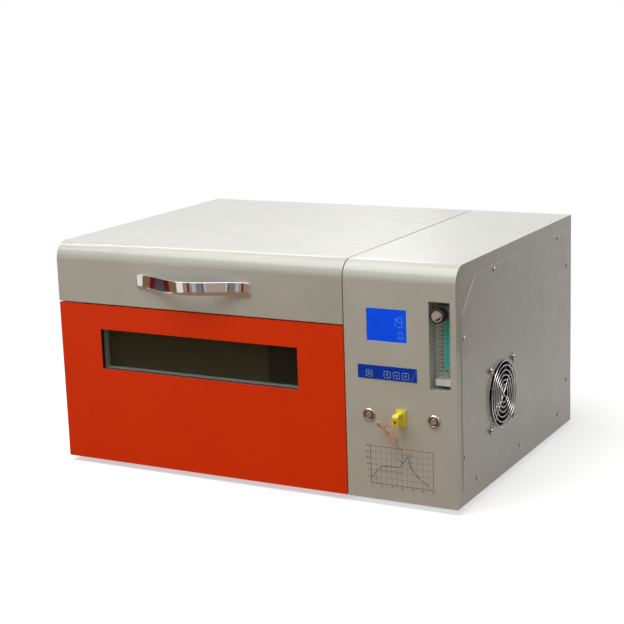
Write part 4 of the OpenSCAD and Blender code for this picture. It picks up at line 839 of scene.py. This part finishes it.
def makeDigits():
    # each place of both rows has all its seven bars, and those of the number shown are lit
    lit, unlit = [], []
    for row in (display["big"], display["small"]):
        for number, digit in enumerate(row["show"].rjust(row["places"])[::-1]):
            left = display["right"] - row["wide"] - number * (row["wide"] + row["gap"])
            for key, line in segmentBars(left, row).items():
                on = key in segmentsOf.get(digit, "")
                (lit if on else unlit).append(printed(line, row["line"], display["face"]))
    for x, z, size in display["points"]:
        lit.append(printed([(x, z), (x, z + size * display["pointTall"])], size, display["face"]))
    pale, _ = newFinish("lit digit", srgb(96, 112, 128), 0.4, Emission_Strength=0.55,
                        Emission_Color=(*srgb(84, 116, 158), 1))
    faint, _ = newFinish("unlit digit", srgb(6, 30, 90), 0.4, Specular_IOR_Level=0.15,
                         Emission_Strength=0.86, Emission_Color=(*srgb(6, 66, 212), 1))
    makePiece("display_digits", lit, pale, "cabinet", smooth=False)
    makePiece("display_unlit_digits", unlit, faint, "cabinet", smooth=False)


makeDigits()
print("display made")

# keypad print: rounded frames round the keys, arrows, and a pale stroke at the right end
keypad = {
    "face": -0.5,
    "keyFace": -0.9,
    "keyX": {"set_key": 491.1, "left_key": 516.6, "down_key": 529.6, "up_key": 542.3},
    "keyZ": 170.2,
    "frame": (4.45, 4.2, 1.6),   # half width, half height, corner
    "frameWide": 0.6,
    "arrows": {"left_key": [(1.1, 2.1), (-1.3, 0), (1.1, -2.1)],
               "down_key": [(-2.0, 1.1), (0, -1.3), (2.0, 1.1)],
               "up_key": [(-2.0, -1.1), (0, 1.3), (2.0, -1.1)]},
    "arrowWide": 0.75,
    "bars": (-1.5, 0, 1.5),      # heights of the set key's three bars
    "barHalf": 2.6,
    "barWide": 0.55,
    "strokes": [([(549.1, 164.2), (553.3, 170.8), (556.9, 179.4)], 0.55),
                ([(551.6, 164.0), (555.4, 171.6), (557.6, 179.0)], 0.25)],
}


def frameLine(x, z, halfWide, halfTall, bend):
    a, b = roundedSection(halfWide, halfTall, bend, 6)
    return np.stack([x + a.ravel(), z + b.ravel()], -1)


def makeKeypad():
    keyInk = plainInk("key ink", srgb(176, 202, 244), 0.4)
    z = keypad["keyZ"]

    def onKey(name, node, lines):
        makePiece(name, lines, keyInk, bodyOf[node], smooth=False)

    makePiece("keypad_stroke", [printed(line, width, keypad["face"]) for line, width in keypad["strokes"]],
              plainInk("keypad stroke", srgb(92, 124, 196), 0.4), "cabinet", smooth=False)
    for node, x in keypad["keyX"].items():
        line = frameLine(x, z, *keypad["frame"])
        onKey(node + "_frame", node, [printed(line, keypad["frameWide"], keypad["keyFace"], closed=True)])
    for node, line in keypad["arrows"].items():
        line = np.array(line) + (keypad["keyX"][node], z)
        onKey(node + "_arrow", node, [printed(line, keypad["arrowWide"], keypad["keyFace"])])
    x, half = keypad["keyX"]["set_key"], keypad["barHalf"]
    onKey("set_key_mark", "set_key", [printed([(x - half, z + up), (x + half, z + up)], keypad["barWide"],
                                              keypad["keyFace"]) for up in keypad["bars"]])


makeKeypad()
print("keypad made")

# printed chart: frame, grid, ticks, numbers and a heating curve
chart = {
    "x": (490.0, 578.6),
    "z": (22.0, 72.6),
    "face": 0.0,
    "thick": 0.04,
    "columns": 12,
    "rows": 6,
    "perRow": 50,                # what a row and a column count
    "perColumn": 20,
    "tick": 1.4,
    "axisOver": 2,               # how far the upright axis stands out at the top
    "wide": {"left": 0.75, "foot": 0.6, "top": 0.45, "right": 0.5, "grid": 0.2, "tick": 0.35,
             "curve": 0.7, "spot": 0.9, "mark": 0.4, "digit": 0.42},
    "digit": {"tall": 1.8, "wide": 0.936, "line": 0.3, "gap": 0.55},
    "rowNumber": (-2.6, -0.8),   # from the line's end to the number's lower right corner
    "columnNumber": (1.6, -4.2),
    # ramp, soak, peak and cooling, and the marks beside the curve, in shares of the frame
    "curve": [(0, 0.123), (0.09, 0.32), (0.165, 0.45), (0.2, 0.475), (0.3, 0.487), (0.427, 0.5),
              (0.486, 0.545), (0.515, 0.61), (0.55, 0.7), (0.585, 0.805), (0.61, 0.73), (0.63, 0.6),
              (0.667, 0.479), (0.741, 0.323), (0.795, 0.245), (0.87, 0.16), (0.93, 0.095)],
    "spot": (0.513, 0.61),
    "spotHalf": 0.55,
    "marks": [[(0.356, 0.755), (0.41, 0.759), (0.513, 0.627)], [(0.513, 0.88), (0.513, 0.62)],
              [(0.63, 0.845), (0.63, 0.51)], [(0.16, 0.368), (0.495, 0.368)],
              [(0.18, 0.382), (0.16, 0.368), (0.18, 0.354)],
              [(0.475, 0.382), (0.495, 0.368), (0.475, 0.354)],
              [(0.035, 0.167), (0.084, 0.114), (0.13, 0.112)], [(0.741, 0.323), (0.79, 0.322)]],
}


def makeChart():
    (x0, x1), (z0, z1) = chart["x"], chart["z"]
    wide, digit = chart["wide"], chart["digit"]
    lines = []

    def add(points, width):
        lines.append(printed(points, width, chart["face"], chart["thick"]))

    def inFrame(u, v):
        return x0 + u * (x1 - x0), z0 + v * (z1 - z0)

    def number(value, right, low):
        for i, figure in enumerate(str(value)[::-1]):
            left = right - digit["wide"] - i * (digit["wide"] + digit["gap"])
            bars = segmentBars(left, {**digit, "low": low})
            for key in segmentsOf[figure]:
                add(bars[key], wide["digit"])

    add([(x0, z1 + chart["axisOver"]), (x0, z0)], wide["left"])
    add([(x0 - 0.3, z0), (x1, z0)], wide["foot"])
    add([(x0, z1), (x1, z1)], wide["top"])
    add([(x1, z0), (x1, z1)], wide["right"])
    for i in range(1, chart["columns"]):
        x, _ = inFrame(i / chart["columns"], 0)
        add([(x, z0), (x, z1)], wide["grid"])
        add([(x, z0), (x, z0 - chart["tick"])], wide["tick"])
    for i in range(1, chart["rows"]):
        _, z = inFrame(0, i / chart["rows"])
        add([(x0, z), (x1, z)], wide["grid"])
        add([(x0 - chart["tick"], z), (x0, z)], wide["tick"])
    add(smoothCurve([inFrame(u, v) for u, v in chart["curve"]], 5), wide["curve"])
    spot = frameLine(*inFrame(*chart["spot"]), chart["spotHalf"], chart["spotHalf"], 0.5)
    add(np.concatenate([spot, spot[:1]]), wide["spot"])
    for line in chart["marks"]:
        add([inFrame(u, v) for u, v in line], wide["mark"])
    for i in range(1, chart["rows"] + 1):
        _, z = inFrame(0, i / chart["rows"])
        number(chart["perRow"] * i, x0 + chart["rowNumber"][0], z + chart["rowNumber"][1])
    for i in range(0, chart["columns"] + 1, 2):
        x, _ = inFrame(i / chart["columns"], 0)
        number(chart["perColumn"] * i, x + chart["columnNumber"][0], z0 + chart["columnNumber"][1])
    makePiece("panel_chart", lines, plainInk("chart ink", srgb(36, 35, 34)), "cabinet",
              smooth=False)


makeChart()
print("chart made")

# flowmeter: printed scale on the clear block, and the valve knob with its plate
meter = {
    "face": 9.0,
    "over": 0.06,                # the bore's line and the dots lie this far in front of the strips
    "tickLow": 179.6,
    "tickStep": 5.2,
    "ticks": 12,
    "tickSpans": ((583.8, 592.2), (586.0, 592.0)),  # long and short
    "tickWide": 0.8,
    "bore": 590.5,
    "boreWide": 0.25,
    "strips": (594.1, 599.1),
    "stripWide": 3.5,
    "stripSpan": (181.3, 244.0),
    "dotX": (597.0, 598.2),
    "dots": 5,
    "dotUp": 0.8,
    "dotWide": 1.5,
}


def makeScale():
    # tick i stands at tickLow + i * tickStep, and a dot beside every other one
    low, step, over = meter["tickLow"], meter["tickStep"], meter["face"] - meter["over"]
    scale = []
    for i in range(meter["ticks"]):
        z = low + step * i
        scale.append(printed([(x, z) for x in meter["tickSpans"][i % 2]], meter["tickWide"], meter["face"]))
    bore = [(meter["bore"], low), (meter["bore"], low + step * meter["ticks"])]
    scale.append(printed(bore, meter["boreWide"], over))
    for i in range(meter["dots"]):
        z = low + step * 2 * (i + 1) + meter["dotUp"]
        scale.append(printed([(x, z) for x in meter["dotX"]], meter["dotWide"], over))
    makePiece("flowmeter_ticks", scale, plainInk("scale ink", srgb(24, 26, 27)), "cabinet",
              smooth=False)
    strips = [printed([(x, z) for z in meter["stripSpan"]], meter["stripWide"], meter["face"])
              for x in meter["strips"]]
    makePiece("flowmeter_strips", strips, plainInk("teal ink", srgb(0, 196, 188), 0.4), "cabinet",
              smooth=False)


makeScale()

knob = {
    "centre": (589.2, 253.2),
    "profile": [(0, -6.2), (7.55, -6.3), (7.6, -6.9), (7.9, -7.0), (9.0, -7.0), (9.4, -6.75),
                (9.5, -6.3), (9.5, -4.3), (9.5, 6.6), (9.2, 7.0), (3.0, 7.0), (3.0, 17.5), (0, 17.5)],
    "flutes": 24,
    "fluteDeep": 0.045,
    "plate": [(0, -6.45), (6.2, -6.45), (7.3, -6.4), (7.5, -6.25), (7.5, -6.0), (0, -6.0)],
    "crescent": {"radius": 5.6, "turn": (-130, 20), "deep": 0.5, "steps": 25, "y": (-6.44, -6.52)},
}


def makeKnob():
    # body: profile turned about y, its radius drawn in at each flute by a squared cosine
    at = (knob["centre"][0], 0, knob["centre"][1])
    body = turned(knob["profile"], at, sides=216, wave=lambda a: 1 - knob["fluteDeep"]
                  * (0.5 + 0.5 * np.cos(knob["flutes"] * a)) ** 2)
    makePiece("valve_knob_body", [body], finishes["black_plastic"], "valve_knob",
              ["flowmeter_knob"])
    makePiece("valve_knob_plate", [turned(knob["plate"], at, sides=64)],
              moulded("knob plate", srgb(208, 188, 180), 0.3, coat=0.3), "valve_knob")
    # crescent: an arc, and the same arc drawn in towards the centre by a half wave
    moon = knob["crescent"]
    a = np.radians(np.linspace(*moon["turn"], moon["steps"]))
    outer = np.stack([np.cos(a), np.sin(a)], -1) * moon["radius"]
    inner = outer * (1 - moon["deep"] * np.sin(np.linspace(0, math.pi, moon["steps"])))[:, None]
    edges = np.stack([outer, inner], 1) + knob["centre"]
    rings = np.zeros((moon["steps"], 4, 3))
    rings[:, :2, [0, 2]] = edges
    rings[:, 2:, [0, 2]] = edges[:, ::-1]
    rings[:, :2, 1], rings[:, 2:, 1] = moon["y"]
    makePiece("valve_knob_crescent", [carried(rings)], plainInk("crescent ink", srgb(26, 24, 26)),
              "valve_knob", smooth=False)


makeKnob()
print("flowmeter made")

# stage: floor, sky, lamps, and cards that only mirror-like surfaces see
stage = {
    "floor": {"reach": 6, "seen": 0.88, "lift": 0.5, "bounce": (0.40, 0.31, 0.21), "fade": (0.5, 1.0)},
    "sky": 0.28,
    "lamp": {"place": (-0.35, -0.8, 2.3), "aim": (0, 0, 0.2), "size": 2.0, "power": 46.5},
    # azimuths in degrees from -Y towards -X as the handle mirrors them, and screen colours
    "cards": [(-62, -30, (118, 112, 104)), (-30, -13.2, (172, 160, 148)),
              (-13.2, -11.2, (206, 186, 168)), (-11.2, -10, (26, 23, 22)), (-10, 0, (128, 124, 126)),
              (0, 8, (184, 182, 184)), (8, 14, (142, 138, 142)), (14, 19, (98, 30, 32)),
              (19, 31, (170, 132, 102)), (31, 50, (240, 238, 232)), (50, 70, (128, 100, 72)),
              (70, 79, (104, 24, 28)), (79, 84, (70, 74, 76)), (84, 112, (112, 104, 96))],
    "sideCards": [(-150, -128, (96, 94, 90)), (-118, -96, (60, 58, 56)), (-84, -70, (104, 88, 72))],
    "cardRing": {"centre": (-0.082, -0.25), "radius": 0.95, "sideRadius": 1.425, "tall": 0.62, "lean": 1.5},
    # directions from the middle of the object, half sizes and strengths
    "edgeCards": [((0.78, -0.1, 0.63), 0.35, 9.0), ((0.29, 0.81, 0.53), 0.25, 2.2)],
    "edgeFar": 1.5,
    "middle": (0, 0, 0.15),
    "table": {"low": (-0.9, -1.25), "high": (0.9, -0.235), "up": 0.002, "colour": (148, 118, 92)},
    # two places on the bend with the directions that they mirror, and the light's width
    "strips": [(((0, 9, 309), (-0.61, 0.05, 0.79)), ((470, 24, 315), (-0.45, 0.80, 0.36)), 0.05),
               (((0, 4, 305), (-0.61, -0.42, 0.67)), ((470, 13, 312), (-0.45, 0.35, 0.82)), 0.035)],
    "stripFar": 1.6,
    "stripOver": 0.3,
    "stripFaces": (227, 20, 310),
    "stripGlow": 14.0,
}


def seenBy(material):
    # 1 for the rays that see a surface, 0 for the light that it gives to others
    rays = addNode(material, "ShaderNodeLightPath").outputs
    either = combined(material, "MAXIMUM", rays["Is Camera Ray"], rays["Is Glossy Ray"])
    return combined(material, "MAXIMUM", either, rays["Is Transmission Ray"])


def stagePiece(name, points, faces, materials, owner):
    mesh = bpy.data.meshes.new(name)
    mesh.from_pydata([tuple(map(float, p)) for p in points], [], faces)
    for material in materials:
        mesh.materials.append(material)
    mesh.polygons.foreach_set("material_index", owner)
    piece = bpy.data.objects.new(name, mesh)
    bpy.context.collection.objects.link(piece)
    return piece


def makeFloor():
    # seen directly it is a pale floor with the shadow on it, which fades out into plain white;
    # what it gives back to the object is the warmer, darker tone of a table top
    setup = stage["floor"]
    pale = (setup["seen"],) * 3
    material, shader = newFinish("floor", pale, 0.9, Specular_IOR_Level=0.05,
                                 Emission_Color=(1, 1, 1, 1))
    seen = seenBy(material)
    setInputs(material, shader, Base_Color=blendColours(material, seen, setup["bounce"], pale),
              Emission_Strength=combined(material, "MULTIPLY", seen, setup["lift"]))
    coordinates = addNode(material, "ShaderNodeTexCoord")
    distance = addNode(material, "ShaderNodeVectorMath", {"operation": "LENGTH"},
                       Vector=coordinates.outputs["Object"])
    far = mapped(material, distance.outputs["Value"], 0, 1, *setup["fade"])
    glow = addNode(material, "ShaderNodeEmission", Color=(1, 1, 1, 1), Strength=1.0)
    mix = addNode(material, "ShaderNodeMixShader")
    link = material.node_tree.links.new
    share = combined(material, "MULTIPLY", far, seen)
    for output, socket in zip((share, shader.outputs[0], glow.outputs[0]), mix.inputs):
        link(output, socket)
    link(mix.outputs[0], material.node_tree.nodes["Material Output"].inputs["Surface"])
    r = setup["reach"]
    stagePiece("floor", [(-r, -r, 0), (r, -r, 0), (r, r, 0), (-r, r, 0)], [(0, 1, 2, 3)], [material], [0])


def makeSky():
    world = bpy.data.worlds.new("sky")
    bpy.context.scene.world = world
    world.use_nodes = True
    setInputs(world, world.node_tree.nodes["Background"], Color=(1, 1, 1, 1),
              Strength=mapped(world, seenBy(world), stage["sky"], 1, 0, 1))


def makeLamp():
    data = bpy.data.lights.new("softbox", "AREA")
    data.shape = "SQUARE"
    data.size = stage["lamp"]["size"]
    data.energy = stage["lamp"]["power"]
    lamp = bpy.data.objects.new("softbox", data)
    bpy.context.collection.objects.link(lamp)
    lamp.location = stage["lamp"]["place"]
    aim = Vector(stage["lamp"]["aim"]) - lamp.location
    lamp.rotation_euler = aim.to_track_quat("-Z", "Y").to_euler()


def glossOnly(name, corners, materials):
    # four-cornered cards, one material each, that light nothing and are seen only in reflections
    faces = [list(range(4 * i, 4 * i + 4)) for i in range(len(materials))]
    card = stagePiece(name, corners, faces, materials, list(range(len(materials))))
    card.visible_camera = card.visible_diffuse = card.visible_transmission = False
    card.visible_shadow = card.visible_volume_scatter = False


def glowCard(name, colour, strength):
    material = bpy.data.materials.new(name)
    material.use_nodes = True
    tree = material.node_tree
    glow = addNode(material, "ShaderNodeEmission", Color=(*colour, 1), Strength=strength)
    tree.links.new(glow.outputs[0], tree.nodes["Material Output"].inputs["Surface"])
    return material


def makeCards():
    # upright screens round the front, side by side, each with its top leaning a little
    ring = stage["cardRing"]
    points, materials = [], []
    for cards, radius in ((stage["cards"], ring["radius"]), (stage["sideCards"], ring["sideRadius"])):
        for low, high, colour in cards:
            for azimuth, z in ((low, 0), (high, 0), (high + ring["lean"], ring["tall"]),
                               (low + ring["lean"], ring["tall"])):
                a = math.radians(azimuth)
                points.append((ring["centre"][0] - radius * math.sin(a),
                               ring["centre"][1] - ring["radius"] * math.cos(a), z))
            materials.append(glowCard("card %d" % (len(materials) + 1), srgb(*colour), 1.0))
    for direction, half, glow in stage["edgeCards"]:
        out = unit(np.array(direction, float))
        side = unit(np.cross(out, (0, 0, 1)))
        lift = np.cross(side, out)
        points += [stage["edgeFar"] * out + stage["middle"] + half * (a * side + b * lift)
                   for a, b in ((-1, -1), (1, -1), (1, 1), (-1, 1))]
        materials.append(glowCard("edge card", (1, 1, 1), glow))
    table = stage["table"]
    (x0, y0), (x1, y1) = table["low"], table["high"]
    points += [(x0, y0, table["up"]), (x1, y0, table["up"]), (x1, y1, table["up"]), (x0, y1, table["up"])]
    materials.append(glowCard("table card", srgb(*table["colour"]), 1.0))
    glossOnly("cards", points, materials)


def makeStrips():
    # long lights at the places that the lid's bend mirrors, turned to face it
    for number, (first, second, width) in enumerate(stage["strips"]):
        start, end = [place(at) + stage["stripFar"] * unit(np.array(way, float))
                      for at, way in (first, second)]
        along = unit(end - start)
        end = end + along * stage["stripOver"]
        half = unit(np.cross(along, unit(place(stage["stripFaces"]) - (start + end) / 2))) * width / 2
        glossOnly("strip_%d" % number, [start - half, end - half, end + half, start + half],
                  [glowCard("strip light", (1, 1, 1), stage["stripGlow"])])


makeCards()
makeStrips()
makeFloor()
makeSky()
makeLamp()
bpy.context.scene.view_settings.view_transform = "Standard"
print("stage set")
